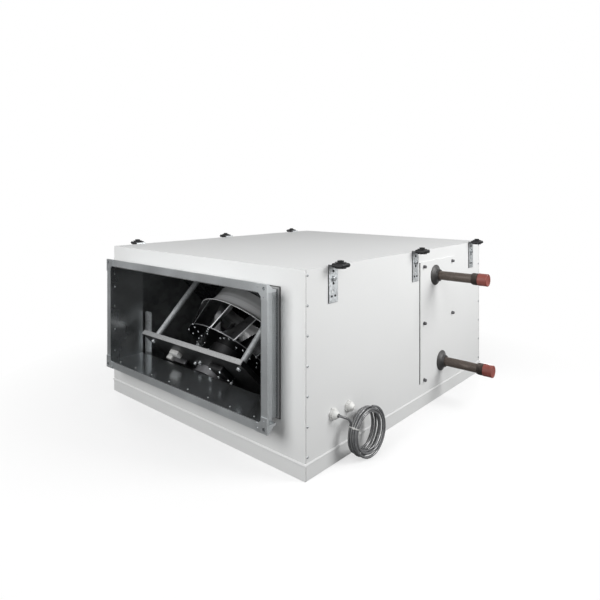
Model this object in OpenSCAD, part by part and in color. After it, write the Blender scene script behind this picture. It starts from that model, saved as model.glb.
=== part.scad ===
// Air handling unit: insulated case, tilted plug fan, duct spigots, hangers, heater pipes and cable.
// Millimetres, +Z up. The origin is the centre of the underside and the outlet faces -Y.

/* [Case] */
// Case width across the sides
case_w = 840; // [700:1:1200]
// Case length between the end faces
case_l = 985; // [900:1:1400]
// Case height from underside to top
case_h = 480; // [440:1:700]
// Height of the base cover
base_h = 40; // [25:1:60]
// Insulated wall thickness
wall_t = 50; // [30:1:60]
// Outer sheet thickness that laps the corners
skin_t = 1.5; // [1:0.1:3]
// Clearance between parts that slide together
fit = 0.4; // [0.2:0.05:0.8]

/* [Duct spigots] */
// Collar width outside
spigot_w = 676; // [400:1:700]
// Collar height outside
spigot_h = 300; // [200:1:320]
// Height of the collar centre
spigot_z = 277.6; // [240:0.1:300]
// How far the flange stands out from the end face
spigot_out = 60; // [40:1:120]
// How far the collar passes the inner wall face
spigot_in = 5.5; // [2:0.5:10]
// Collar sheet thickness
collar_t = 2; // [1:0.1:3]
// Flange rail width
rail_w = 20; // [15:1:40]
// Flange rail face thickness
rail_t = 4; // [2:0.5:8]
// Flange rail depth along the duct
rail_d = 28; // [20:1:38]
// Thickness of the rail foot on the collar
rail_foot = 6; // [3:0.5:10]
// Leg length of the flange corner plates
corner_leg = 37; // [30:1:60]
// Thickness of the flange corner plates
corner_t = 2; // [1:0.5:4]
// Chamfer across the inner corner of the corner plates
corner_cut = 9; // [4:1:14]
// Flange bolt hole diameter
flange_hole_d = 9; // [6:0.5:12]
// Small hole diameter in the corner plates
corner_hole_d = 4; // [2:0.5:6]
// Thickness of the wall gasket
gasket_t = 3; // [1:0.5:6]
// Width of the wall gasket
gasket_w = 6; // [4:1:16]

/* [Plug fan] */
// Tilt of the fan axis above the horizontal
fan_tilt = 44.5; // [43:0.5:47]
// Sideways place of the fan axis
fan_x = -45; // [-80:1:20]
// Distance of the impeller disc centre behind the front face
fan_back = 176.5; // [170:0.5:195]
// Height of the impeller disc centre
fan_z = 158; // [156:1:190]
// Impeller disc radius
disc_r = 149; // [130:1:152]
// Outer radius of the shroud rim
rim_r = 160; // [150:1:166]
// Impeller disc thickness
disc_t = 2.5; // [1.5:0.1:5]
// Distance from the disc to the shroud rim
shroud_rim = 85; // [70:1:95]
// Rise of the shroud from its rim to its neck
shroud_rise = 34; // [24:1:45]
// Inner radius of the shroud neck
neck_r = 102; // [95:1:108]
// Shroud sheet thickness
shroud_t = 2; // [1:0.1:3]
// Number of impeller blades
blade_n = 11; // [6:1:12]
// Radius of the blade leading edge
blade_in = 88; // [80:1:94]
// Blade thickness along the rim
blade_t = 3; // [2:0.5:4]
// Angle swept by one blade
blade_sweep = 40; // [25:1:50]
// Lean of the blades from the disc to the shroud
blade_lean = 18; // [5:1:22]
// Running clearance round the nozzle
nozzle_gap = 5.5; // [5:0.5:8]
// Depth of the nozzle inside the shroud neck
nozzle_dip = 3; // [1:1:8]
// Nozzle sheet thickness
nozzle_t = 1.5; // [1:0.1:3]
// Nozzle flange radius
nozzle_flange_r = 146; // [136:1:160]
// Distance from the shroud neck to the partition
partition_gap = 18; // [14:1:30]
// Partition sheet thickness
partition_t = 3; // [2:0.5:5]
// Motor rotor radius
rotor_r = 58; // [40:1:62]
// Motor rotor length
rotor_l = 60; // [40:1:66]
// Motor shaft diameter
shaft_d = 16; // [10:1:20]
// Running clearance of the shaft in its bearing
shaft_gap = 0.1; // [0.05:0.05:0.3]
// Motor housing radius
motor_r = 60; // [50:1:62]
// Motor housing depth in front of the bracket
motor_d = 22; // [16:1:24]
// Bearing boss radius
boss_r = 34; // [20:1:45]
// Clearance between the bearing boss and the rotor
boss_gap = 6; // [5:0.5:9]
// Distance from the impeller disc to the bracket front
bracket_back = 78; // [76:1:90]
// Bracket width
bracket_w = 462; // [440:1:500]
// Bracket height above the fan axis
bracket_up = 151; // [145:1:156]
// Bracket depth below the fan axis
bracket_down = 76; // [66:1:80]
// Bracket sheet thickness
bracket_t = 3; // [2:0.5:5]
// Depth of the bracket edge flanges
bracket_lip = 14; // [8:1:20]
// Spacer tube diameter
tube_d = 15; // [10:1:20]
// Distance of the spacer tubes from the bracket sides
tube_inset = 31; // [20:1:45]
// Distance of the spacer tubes from the bracket top and bottom edges
tube_edge = 33; // [20:1:36]

/* [Inside fittings] */
// Width of one upright strip
strip_w = 17; // [10:1:30]
// Gap between the two upright strips
strip_gap = 3; // [2:1:10]
// Upright strip sheet thickness
strip_t = 2; // [1:0.5:4]
// Height of the strip tops
strip_top = 268; // [200:1:320]
// Foot length of the strips
strip_foot = 22; // [10:1:30]
// Distance of the strips from the left inner wall
strip_side = 17; // [10:1:40]
// Distance of the strips behind the front wall
strip_back = 15; // [10:1:30]
// Heater block depth along the air flow
heater_d = 130; // [80:1:140]
// Heater block distance from the right inner wall
heater_side = 55; // [50:1:80]
// Heater header pipe diameter
header_d = 34; // [25:1:38]
// Filter depth along the air flow
filter_d = 48; // [25:1:50]
// Filter distance from the rear wall
filter_back = 22; // [15:1:40]
// Filter frame border width
filter_edge = 25; // [15:1:40]
// Number of filter pleats
pleat_n = 24; // [10:1:30]
// Pleat sheet thickness along the air flow
pleat_t = 6; // [3:0.5:10]

/* [Heater cover and pipes] */
// Cover centre behind the case centre
cover_y = 160; // [140:1:180]
// Cover width along the case
cover_w = 240; // [180:1:280]
// Cover bottom edge height
cover_low = 75; // [60:1:100]
// Cover height
cover_h = 369; // [340:1:380]
// Cover plate thickness
cover_t = 3; // [1:0.5:5]
// Lap of the cover plate over the wall opening
cover_lap = 20; // [10:1:22]
// Upper pipe place along the case
upper_pipe_y = 138; // [120:1:170]
// Upper pipe height
upper_pipe_z = 396.7; // [360:0.1:400]
// Lower pipe place along the case
lower_pipe_y = 178; // [150:1:200]
// Lower pipe height
lower_pipe_z = 116; // [114:1:160]
// Pipe outside diameter
pipe_d = 28; // [20:0.5:30]
// Outside diameter of the threaded pipe end
nipple_d = 33; // [31:0.5:34]
// Length of the threaded pipe end
nipple_l = 44; // [35:1:60]
// Pipe wall thickness
pipe_wall = 2.5; // [1:0.1:4]
// Pipe length outside the case
pipe_out = 168; // [100:1:220]
// Cap outside diameter
cap_d = 37; // [36:0.5:45]
// Cap length
cap_l = 28; // [15:1:40]
// Cap end thickness
cap_end = 4; // [2:0.5:8]
// Rosette diameter
rosette_d = 64; // [50:1:75]
// Rosette height
rosette_h = 16; // [10:1:30]
// Rosette neck wall
rosette_wall = 4; // [2:0.5:8]

/* [Hangers] */
// Spacing of the hangers along the case
hanger_pitch = 402; // [300:1:420]
// Place of the middle hanger behind the case centre
hanger_shift = 11; // [-20:1:20]
// Hanger width
hanger_w = 35; // [31:1:50]
// Hanger leg height
hanger_h = 93; // [80:1:120]
// Hanger sheet thickness
hanger_t = 2.5; // [1.5:0.1:4]
// Rise of the hanger lug over the case top
hanger_rise = 4; // [3:0.5:8]
// Hanger lug length
lug_l = 40; // [36:1:60]
// Distance of the rod hole from the case side
rod_out = 24; // [20:0.5:26]
// Rod hole diameter
rod_d = 9; // [7:0.5:11]
// Isolator diameter
iso_d = 28; // [22:1:30]
// Isolator disc thickness above and below the lug
iso_t = 6; // [3:0.5:10]
// Isolator neck diameter in the lug
iso_neck_d = 17; // [14:0.5:19]
// Isolator cap diameter
iso_cap_d = 16; // [13:0.5:20]
// Isolator cap height
iso_cap_h = 4; // [2:0.5:6]
// Large hole diameter in the hanger leg
leg_hole_d = 9; // [6:0.5:11]
// Small hole diameter in the hanger leg
leg_small_d = 5; // [3:0.5:6]

/* [Glands and cable] */
// Front gland place behind the front face
gland_back = 101.8; // [80:0.1:120]
// Spacing of the two glands
gland_pitch = 63.7; // [40:0.1:80]
// Height of the glands
gland_z = 123; // [100:0.5:140]
// Gland flange diameter
gland_d = 29; // [24:0.5:36]
// Gland length outside the wall
gland_l = 28; // [20:1:30]
// Gland shank diameter
gland_shank_d = 20; // [16:0.5:22]
// Gland shank depth in the wall
gland_shank_l = 24; // [10:1:40]
// Cable diameter
cable_d = 6; // [4:0.1:7]
// Bore of the glands
gland_bore_d = 7.4; // [7.2:0.1:9]
// Cable coil place behind the front face
coil_back = 176.5; // [160:0.5:200]
// Outer radius of the cable coil
coil_r = 68; // [60:1:72]
// Inner radius of the cable coil
coil_in_r = 48; // [40:1:52]
// Width of the cable coil
coil_w = 30; // [20:1:34]
// Distance of the cable coil from the case side
coil_out = 34; // [32:1:50]
// Clearance of the coil over the floor
coil_lift = 0.5; // [0:0.1:2]
// Cable tie width
tie_w = 4; // [2:0.5:6]
// Cable tie thickness
tie_t = 1.4; // [1:0.1:2]
// Angle of the cable tie round the coil
tie_angle = 160; // [150:1:175]

/* [Hidden] */
$fn = 72;
paint = [0.88, 0.88, 0.87];
zinc = [0.68, 0.69, 0.70];
dark_zinc = [0.42, 0.43, 0.44];
black = [0.08, 0.08, 0.09];
half_w = case_w / 2;
half_l = case_l / 2;
core_x = half_w - wall_t;
core_y = half_l - wall_t;
ceiling_z = case_h - wall_t;
skin_z = case_h - skin_t;
side_y = half_l - skin_t;
flange_y = half_l + spigot_out;
rail_y = flange_y - corner_t;
rail_back = 20;
fan_y = -half_l + fan_back;
neck_top = shroud_rim + shroud_rise;
partition_at = neck_top + partition_gap;
nozzle_end = neck_top - nozzle_dip;
nozzle_r = neck_r - nozzle_gap - nozzle_t;
curve_n = 10;
blade_top_turn = 60;
blade_phase = -9;
blade_below = 60;
blade_reach = neck_top + 2 * blade_below;
tube_x = bracket_w / 2 - tube_inset;
tube_high = bracket_up - tube_edge;
tube_low = bracket_down - tube_edge;
bracket_z = -bracket_back;
web_back = bracket_z + bracket_t;
boss_end = -rotor_l - boss_gap;
bearing_end = bracket_z - motor_d + 6;
heater_y = (upper_pipe_y + lower_pipe_y) / 2;
header_x = core_x - heater_side + header_d / 2 - 6;
socket_end = core_x - 4;
socket_d = pipe_d + 12;
cover_z = cover_low + cover_h / 2;
plug_w = cover_w - 2 * cover_lap;
plug_h = cover_h - 2 * cover_lap;
cover_face = half_w + cover_t;
pipe_end = half_w + pipe_out;
cap_grip = cap_l - cap_end;
hanger_top = case_h + hanger_rise;
lug_z = hanger_top - hanger_t;
iso_top = hanger_top + iso_t;
gland_y = -half_l + gland_back;
coil_x = half_w + coil_out + coil_w / 2;
coil_y = -half_l + coil_back;
coil_z = coil_r + coil_lift;
coil_mid_r = (coil_r + coil_in_r) / 2;
gland_tip = half_w + gland_l;
lead_sides = 10;
lead_steps = 5;
lead_angle = 142;
lead_y = coil_y + coil_mid_r * cos(lead_angle);
lead_z = coil_z + coil_mid_r * sin(lead_angle);

// Route of the cable from inside the gland to the coil
lead_route = [
    [gland_tip - 14, gland_y, gland_z],
    [gland_tip - 6, gland_y, gland_z],
    [gland_tip + 4, gland_y + 0.5, gland_z - 0.5],
    [gland_tip + 13, gland_y + 4, gland_z - 3],
    [(gland_tip + coil_x) / 2 + 10, gland_y + 9, gland_z - 8],
    [coil_x, lead_y - 5, lead_z + 7],
    [coil_x, lead_y + 2, lead_z - 3]
];

module slab(x0, x1, y0, y1, z0, z1) {
    translate([x0, y0, z0]) cube([x1 - x0, y1 - y0, z1 - z0]);
}

module along_x(x0, x1, y, z, d) {
    translate([x0, y, z]) rotate([0, 90, 0]) cylinder(h = x1 - x0, d = d);
}

module fan_place() {
    translate([fan_x, fan_y, fan_z]) rotate([fan_tilt - 90, 0, 0]) children();
}

module base_cover() {
    color(paint) slab(-half_w, half_w, -half_l, half_l, 0, base_h);
}

module end_wall() {
    difference() {
        union() {
            slab(-core_x, core_x, -side_y, -core_y, base_h, skin_z);
            slab(-half_w, half_w, -half_l, -side_y, base_h, skin_z);
        }
        translate([0, 0, spigot_z])
            slab(-spigot_w / 2 - fit, spigot_w / 2 + fit, -half_l - 1, -core_y + 1,
                 -spigot_h / 2 - fit, spigot_h / 2 + fit);
    }
}

module front_wall() {
    color(paint) end_wall();
}

module rear_wall() {
    color(paint) mirror([0, 1, 0]) end_wall();
}

module left_wall() {
    color(paint) slab(-half_w, -core_x, -side_y, side_y, base_h, skin_z);
}

module right_wall() {
    color(paint) difference() {
        slab(core_x, half_w, -side_y, side_y, base_h, skin_z);
        slab(core_x - 1, half_w + 1, cover_y - plug_w / 2, cover_y + plug_w / 2,
             cover_z - plug_h / 2, cover_z + plug_h / 2);
        for (i = [0, 1])
            along_x(core_x - 1, half_w + 1, gland_y + i * gland_pitch, gland_z, gland_shank_d + 2 * fit);
    }
}

module top_panel() {
    color(paint) union() {
        slab(-core_x, core_x, -core_y, core_y, ceiling_z, skin_z);
        slab(-half_w, half_w, -half_l, half_l, skin_z, case_h);
    }
}

module heater_cover() {
    color(paint) difference() {
        union() {
            slab(half_w, cover_face, cover_y - cover_w / 2, cover_y + cover_w / 2,
                 cover_low, cover_low + cover_h);
            slab(core_x, half_w, cover_y - plug_w / 2 + fit, cover_y + plug_w / 2 - fit,
                 cover_z - plug_h / 2 + fit, cover_z + plug_h / 2 - fit);
        }
        along_x(core_x - 1, cover_face + 1, upper_pipe_y, upper_pipe_z, pipe_d + 4 * fit);
        along_x(core_x - 1, cover_face + 1, lower_pipe_y, lower_pipe_z, pipe_d + 4 * fit);
    }
}

module collar() {
    translate([0, 0, spigot_z]) difference() {
        slab(-spigot_w / 2, spigot_w / 2, -rail_y, -core_y + spigot_in, -spigot_h / 2, spigot_h / 2);
        slab(-spigot_w / 2 + collar_t, spigot_w / 2 - collar_t, -rail_y - 1, -core_y + spigot_in + 1,
             -spigot_h / 2 + collar_t, spigot_h / 2 - collar_t);
    }
}

module wall_gasket() {
    translate([0, 0, spigot_z]) difference() {
        slab(-spigot_w / 2 - gasket_w, spigot_w / 2 + gasket_w, -half_l - gasket_t, -half_l,
             -spigot_h / 2 - gasket_w, spigot_h / 2 + gasket_w);
        slab(-spigot_w / 2 - fit, spigot_w / 2 + fit, -half_l - gasket_t - 1, -half_l + 1,
             -spigot_h / 2 - fit, spigot_h / 2 + fit);
    }
}

module rail_profile() {
    polygon([
        [0, 0], [0, rail_w], [rail_t, rail_w], [rail_back, rail_foot], [rail_d, rail_foot], [rail_d, 0]
    ]);
}

module flange_holes() {
    for (sx = [-1, 1])
        for (sz = [-1, 1])
            translate([sx * (spigot_w + rail_w) / 2, -flange_y - 1, sz * (spigot_h + rail_w) / 2])
                rotate([-90, 0, 0]) cylinder(h = rail_d + corner_t + 2, d = flange_hole_d);
}

module rails() {
    rail_l = spigot_w + 2 * rail_w;
    stile_l = spigot_h - 2 * fit;
    translate([0, 0, spigot_z]) difference() {
        union() {
            for (s = [0, 1])
                mirror([0, 0, s])
                    translate([-rail_l / 2, -rail_y, spigot_h / 2])
                        rotate([90, 0, 90]) linear_extrude(rail_l) rail_profile();
            for (s = [0, 1])
                mirror([s, 0, 0])
                    translate([spigot_w / 2, -rail_y, -stile_l / 2])
                        linear_extrude(stile_l) mirror([1, -1]) rail_profile();
        }
        flange_holes();
    }
}

module corner_plate() {
    difference() {
        linear_extrude(corner_t) polygon([
            [0, 0], [corner_leg, 0], [corner_leg, rail_w], [rail_w + corner_cut, rail_w],
            [rail_w, rail_w + corner_cut], [rail_w, corner_leg], [0, corner_leg]
        ]);
        translate([corner_leg - 6, rail_w / 2, -1]) cylinder(h = corner_t + 2, d = corner_hole_d);
        translate([rail_w / 2, corner_leg - 6, -1]) cylinder(h = corner_t + 2, d = corner_hole_d);
        translate([rail_w / 2, rail_w / 2, -1]) cylinder(h = corner_t + 2, d = flange_hole_d);
    }
}

module corner_plates() {
    translate([0, -rail_y, spigot_z])
        for (sx = [0, 1])
            for (sz = [0, 1])
                mirror([sx, 0, 0]) mirror([0, 0, sz])
                    translate([-spigot_w / 2 - rail_w, 0, -spigot_h / 2 - rail_w])
                        rotate([90, 0, 0]) corner_plate();
}

module outlet_collar() {
    color(zinc) collar();
}

module outlet_gasket() {
    color(black) wall_gasket();
}

module outlet_rails() {
    color(zinc) rails();
}

module outlet_corners() {
    color(zinc) corner_plates();
}

module inlet_collar() {
    color(zinc) mirror([0, 1, 0]) collar();
}

module inlet_gasket() {
    color(black) mirror([0, 1, 0]) wall_gasket();
}

module inlet_rails() {
    color(zinc) mirror([0, 1, 0]) rails();
}

module inlet_corners() {
    color(zinc) mirror([0, 1, 0]) corner_plates();
}

// Point of the tilted partition at a given height, at a distance along the fan axis
function partition_y(at, z) =
    fan_y + at * cos(fan_tilt) - (z - fan_z - at * sin(fan_tilt)) * tan(fan_tilt);

module fan_partition() {
    near = partition_at;
    far = partition_at + partition_t;
    color(zinc) difference() {
        translate([-core_x, 0, 0]) rotate([90, 0, 90]) linear_extrude(2 * core_x) polygon([
            [partition_y(near, base_h), base_h], [partition_y(far, base_h), base_h],
            [partition_y(far, ceiling_z), ceiling_z], [partition_y(near, ceiling_z), ceiling_z]
        ]);
        fan_place() translate([0, 0, near - 5]) cylinder(h = partition_t + 10, r = nozzle_flange_r - 12);
    }
}

// Profile of the bell: radius and height from the throat to the flange edge
function bell(r0, turn) = [
    r0 + (nozzle_flange_r - 14 - r0) * (1 - cos(turn)),
    nozzle_end + (partition_at + partition_t + nozzle_t - nozzle_end) * sin(turn)
];

module inlet_nozzle() {
    top = partition_at + partition_t + nozzle_t;
    color(zinc) fan_place() rotate_extrude() polygon(concat(
        [for (i = [0 : curve_n]) bell(nozzle_r, i * 90 / curve_n)],
        [[nozzle_flange_r, top], [nozzle_flange_r, top - nozzle_t], [nozzle_flange_r - 14, top - nozzle_t]],
        [for (i = [curve_n - 1 : -1 : 0]) bell(nozzle_r, i * 90 / curve_n) + [nozzle_t, 0]]
    ));
}

module impeller_disc() {
    color(dark_zinc) fan_place() cylinder(h = disc_t, r = disc_r);
}

// Underside of the shroud: radius and height from the rim to the neck
function shroud_low(turn) = [
    rim_r - (rim_r - neck_r) * sin(turn),
    shroud_rim + shroud_rise * (1 - cos(turn))
];

function shroud_high(turn) = [
    rim_r - (rim_r - neck_r - shroud_t) * sin(turn),
    shroud_rim + shroud_t + (shroud_rise - shroud_t) * (1 - cos(turn))
];

module impeller_shroud() {
    color(zinc) fan_place() rotate_extrude() polygon(concat(
        [for (i = [0 : curve_n]) shroud_low(i * 90 / curve_n)],
        [for (i = [curve_n : -1 : 0]) shroud_high(i * 90 / curve_n)]
    ));
}

// One edge of a blade: backward swept from the leading edge past the rim
function blade_edge(k, shift) =
    let (r = blade_in + (rim_r + 6 - blade_in) * k)
    let (turn = blade_sweep * pow(k, 0.8) + shift / r * 180 / PI)
    [r * cos(turn), r * sin(turn)];

module impeller_blades() {
    reach = shroud_low(blade_top_turn);
    color(zinc) fan_place() intersection() {
        for (b = [0 : blade_n - 1])
            rotate([0, 0, blade_phase + b * 360 / blade_n]) rotate([-blade_lean, 0, 0])
                translate([0, 0, -blade_below]) linear_extrude(blade_reach) polygon(concat(
                    [for (i = [0 : curve_n]) blade_edge(i / curve_n, 0)],
                    [for (i = [curve_n : -1 : 0]) blade_edge(i / curve_n, blade_t)]
                ));
        rotate_extrude() polygon(concat(
            [[blade_in + 4, disc_t], [disc_r - 1, disc_t]],
            [for (i = [0 : 6]) shroud_low(i * blade_top_turn / 6) - [i == 0 ? 1 : 0, fit / 2]],
            [[blade_in + 4, reach[1] - fit / 2]]
        ));
    }
}

module motor_rotor() {
    color(black) fan_place() translate([0, 0, -rotor_l]) cylinder(h = rotor_l, r = rotor_r);
}

module motor_shaft() {
    color(zinc) fan_place()
        translate([0, 0, bearing_end + 2]) cylinder(h = -rotor_l - bearing_end - 2, d = shaft_d);
}

module motor_housing() {
    color(dark_zinc) fan_place() difference() {
        union() {
            translate([0, 0, bracket_z - motor_d]) cylinder(h = motor_d, r = motor_r);
            translate([0, 0, bracket_z - 1]) cylinder(h = boss_end - bracket_z + 1, r = boss_r);
        }
        translate([0, 0, bearing_end])
            cylinder(h = boss_end - bearing_end + 1, d = shaft_d + 2 * shaft_gap);
    }
}

module motor_bracket() {
    half = bracket_w / 2;
    color(zinc) fan_place() difference() {
        union() {
            slab(-half, half, -bracket_up, bracket_down, bracket_z, web_back);
            slab(-half, half, -bracket_up, -bracket_up + bracket_t, bracket_z, bracket_z + bracket_lip);
            for (s = [0, 1])
                mirror([s, 0, 0])
                    slab(half - bracket_t, half, -bracket_up, bracket_down, bracket_z, bracket_z + bracket_lip);
        }
        translate([0, 0, bracket_z - 1]) cylinder(h = bracket_t + 2, r = boss_r + fit);
    }
}

module spacer_tubes() {
    color(zinc) fan_place()
        for (sx = [-1, 1])
            for (y = [-tube_high, tube_low])
                translate([sx * tube_x, y, web_back]) cylinder(h = partition_at - web_back, d = tube_d);
}

module upright_strips() {
    x0 = -core_x + strip_side;
    y0 = -core_y + strip_back;
    color(zinc) for (i = [0, 1])
        translate([x0 + i * (strip_w + strip_gap), y0, base_h]) {
            cube([strip_w, strip_t, strip_top - base_h - strip_w / 2]);
            cube([strip_w, strip_foot, strip_t]);
            translate([strip_w / 2, 0, strip_top - base_h - strip_w / 2])
                rotate([-90, 0, 0]) cylinder(h = strip_t, d = strip_w);
        }
}

module heater_coil() {
    color(zinc) union() {
        slab(-core_x + 4, core_x - heater_side, heater_y - heater_d / 2, heater_y + heater_d / 2,
             base_h, ceiling_z);
        translate([header_x, upper_pipe_y, base_h + 20])
            cylinder(h = upper_pipe_z - base_h - 5, d = header_d);
        translate([header_x, lower_pipe_y, base_h + 20])
            cylinder(h = ceiling_z - base_h - 40, d = header_d);
        along_x(header_x, socket_end, upper_pipe_y, upper_pipe_z, socket_d);
        along_x(header_x, socket_end, lower_pipe_y, lower_pipe_z, socket_d);
    }
}

module filter_frame() {
    y1 = core_y - filter_back;
    color(zinc) difference() {
        slab(-core_x + fit, core_x - fit, y1 - filter_d, y1, base_h, ceiling_z);
        slab(-core_x + filter_edge, core_x - filter_edge, y1 - filter_d - 1, y1 + 1,
             base_h + filter_edge, ceiling_z - filter_edge);
    }
}

module filter_media() {
    x0 = -core_x + filter_edge;
    step = (core_x - filter_edge) / pleat_n;
    low = core_y - filter_back - filter_d + 4;
    high = core_y - filter_back - 4 - pleat_t;
    color([0.86, 0.87, 0.88])
        translate([0, 0, base_h + filter_edge])
            linear_extrude(ceiling_z - base_h - 2 * filter_edge) polygon(concat(
                [for (i = [0 : 2 * pleat_n]) [x0 + i * step, i % 2 == 0 ? low : high]],
                [for (i = [2 * pleat_n : -1 : 0]) [x0 + i * step, (i % 2 == 0 ? low : high) + pleat_t]]
            ));
}

module hanger(y) {
    translate([half_w, y, 0]) difference() {
        union() {
            slab(0, hanger_t, -hanger_w / 2, hanger_w / 2, hanger_top - hanger_h, hanger_top);
            slab(0, lug_l, -hanger_w / 2, hanger_w / 2, lug_z, hanger_top);
        }
        translate([rod_out, 0, lug_z - 1]) cylinder(h = hanger_t + 2, d = iso_neck_d + 2 * fit);
        for (drop = [35, 66])
            along_x(-1, hanger_t + 1, 0, hanger_top - drop, leg_hole_d);
        for (drop = [17, 46.5])
            along_x(-1, hanger_t + 1, 0, hanger_top - drop, leg_small_d);
        for (s = [-1, 1])
            along_x(-1, hanger_t + 1, s * 6.6, hanger_top - 77, leg_small_d);
    }
}

module hanger_row() {
    for (i = [-1 : 1]) hanger(hanger_shift + i * hanger_pitch);
}

module hangers_left() {
    color(zinc) mirror([1, 0, 0]) hanger_row();
}

module hangers_right() {
    color(zinc) hanger_row();
}

module isolator() {
    rotate_extrude() polygon([
        [rod_d / 2, lug_z - iso_t], [iso_d / 2, lug_z - iso_t], [iso_d / 2, lug_z],
        [iso_neck_d / 2, lug_z], [iso_neck_d / 2, hanger_top], [iso_d / 2, hanger_top],
        [iso_d / 2, iso_top], [iso_cap_d / 2, iso_top], [iso_cap_d / 2, iso_top + iso_cap_h],
        [rod_d / 2, iso_top + iso_cap_h]
    ]);
}

module hanger_isolators() {
    color(black)
        for (s = [-1, 1])
            for (i = [-1 : 1])
                translate([s * (half_w + rod_out), hanger_shift + i * hanger_pitch, 0]) isolator();
}

module pipe(y, z) {
    difference() {
        union() {
            along_x(socket_end, pipe_end, y, z, pipe_d);
            along_x(pipe_end - nipple_l, pipe_end, y, z, nipple_d);
        }
        along_x(socket_end - 1, pipe_end + 1, y, z, pipe_d - 2 * pipe_wall);
    }
}

module upper_pipe() {
    color([0.30, 0.27, 0.25]) pipe(upper_pipe_y, upper_pipe_z);
}

module lower_pipe() {
    color([0.30, 0.27, 0.25]) pipe(lower_pipe_y, lower_pipe_z);
}

module rosette(y, z) {
    bore = pipe_d / 2 + fit;
    neck = bore + rosette_wall;
    edge = rosette_d / 2;
    translate([cover_face, y, z]) rotate([0, 90, 0]) rotate_extrude() polygon([
        [bore, 0], [edge, 0], [edge, 2], [edge - 4, 4], [edge - (edge - neck) * 0.55, 6],
        [neck + (edge - neck) * 0.15, 10], [neck, rosette_h], [bore, rosette_h]
    ]);
}

module upper_rosette() {
    color(black) rosette(upper_pipe_y, upper_pipe_z);
}

module lower_rosette() {
    color(black) rosette(lower_pipe_y, lower_pipe_z);
}

module cap(y, z) {
    difference() {
        along_x(pipe_end - cap_grip, pipe_end + cap_end, y, z, cap_d);
        along_x(pipe_end - cap_grip - 1, pipe_end, y, z, nipple_d + 2 * fit);
    }
}

module upper_cap() {
    color([0.55, 0.22, 0.17]) cap(upper_pipe_y, upper_pipe_z);
}

module lower_cap() {
    color([0.55, 0.22, 0.17]) cap(lower_pipe_y, lower_pipe_z);
}

module gland(y) {
    edge = gland_d / 2;
    bore = gland_bore_d / 2;
    shank = gland_shank_d / 2;
    translate([half_w, y, gland_z]) rotate([0, 90, 0]) rotate_extrude() polygon([
        [bore, -gland_shank_l], [shank, -gland_shank_l], [shank, 0], [edge, 0], [edge, 7],
        [edge - 2, 7], [edge - 2, 14], [edge - 3.5, 18], [edge - 6, 22.5], [edge - 8.5, 26],
        [bore + 1, gland_l], [bore, gland_l]
    ]);
}

module front_gland() {
    color([0.92, 0.92, 0.90]) gland(gland_y);
}

module rear_gland() {
    color([0.92, 0.92, 0.90]) gland(gland_y + gland_pitch);
}

// Catmull-Rom point between b and c, and the route sampled with it
function spline(a, b, c, d, t) =
    0.5 * (2 * b + (c - a) * t + (2 * a - 5 * b + 4 * c - d) * t * t
    + (3 * b - a - 3 * c + d) * t * t * t);

function clamp_at(list, i) = list[max(0, min(len(list) - 1, i))];

function smooth(list) = [
    for (i = [0 : len(list) - 2])
        for (k = [0 : i == len(list) - 2 ? lead_steps : lead_steps - 1])
            spline(clamp_at(list, i - 1), list[i], list[i + 1], clamp_at(list, i + 2), k / lead_steps)
];

function unit(v) = v / norm(v);

// Ring of points square to the route at one of its samples
function ring_at(path, i, r) =
    let (t = unit(clamp_at(path, i + 1) - clamp_at(path, i - 1)))
    let (u = unit(cross(t, [0, 0.3, 1])))
    let (v = cross(t, u))
    [for (k = [0 : lead_sides - 1])
        path[i] + r * (cos(k * 360 / lead_sides) * u + sin(k * 360 / lead_sides) * v)];

module sweep(path, r) {
    rings = len(path);
    polyhedron(
        points = [for (i = [0 : rings - 1]) each ring_at(path, i, r)],
        faces = concat(
            [[for (k = [0 : lead_sides - 1]) k]],
            [for (i = [0 : rings - 2])
                for (k = [0 : lead_sides - 1])
                    let (n = (k + 1) % lead_sides)
                    [i * lead_sides + k, (i + 1) * lead_sides + k,
                     (i + 1) * lead_sides + n, i * lead_sides + n]],
            [[for (k = [lead_sides - 1 : -1 : 0]) (rings - 1) * lead_sides + k]]
        )
    );
}

module cable_lead() {
    color([0.45, 0.45, 0.46]) sweep(smooth(lead_route), cable_d / 2);
}

module cable_coil() {
    soft = 6;
    half = coil_w / 2;
    color([0.45, 0.45, 0.46]) translate([coil_x, coil_y, coil_z]) rotate([0, 90, 0])
        rotate_extrude() polygon([
            [coil_in_r + soft, -half], [coil_r - soft, -half], [coil_r, -half + soft],
            [coil_r, half - soft], [coil_r - soft, half], [coil_in_r + soft, half],
            [coil_in_r, half - soft], [coil_in_r, -half + soft]
        ]);
}

module cable_tie() {
    deep = coil_r - coil_in_r + 2 * fit;
    wide = coil_w + 2 * fit;
    color([0.93, 0.93, 0.92]) translate([coil_x, coil_y, coil_z]) rotate([tie_angle, 0, 0])
        translate([0, coil_mid_r, 0]) difference() {
            slab(-wide / 2 - tie_t, wide / 2 + tie_t, -deep / 2 - tie_t, deep / 2 + tie_t,
                 -tie_w / 2, tie_w / 2);
            slab(-wide / 2, wide / 2, -deep / 2, deep / 2, -tie_w, tie_w);
        }
}

base_cover();
front_wall();
rear_wall();
left_wall();
right_wall();
top_panel();
heater_cover();
outlet_collar();
outlet_gasket();
outlet_rails();
outlet_corners();
inlet_collar();
inlet_gasket();
inlet_rails();
inlet_corners();
fan_partition();
inlet_nozzle();
impeller_disc();
impeller_blades();
impeller_shroud();
motor_rotor();
motor_shaft();
motor_housing();
motor_bracket();
spacer_tubes();
upright_strips();
heater_coil();
filter_frame();
filter_media();
hangers_left();
hangers_right();
hanger_isolators();
upper_pipe();
lower_pipe();
upper_rosette();
lower_rosette();
upper_cap();
lower_cap();
front_gland();
rear_gland();
cable_lead();
cable_coil();
cable_tie();
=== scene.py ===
"""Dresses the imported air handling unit: finishes, cable, fasteners, fan, pipe ends and studio."""
import math

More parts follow.
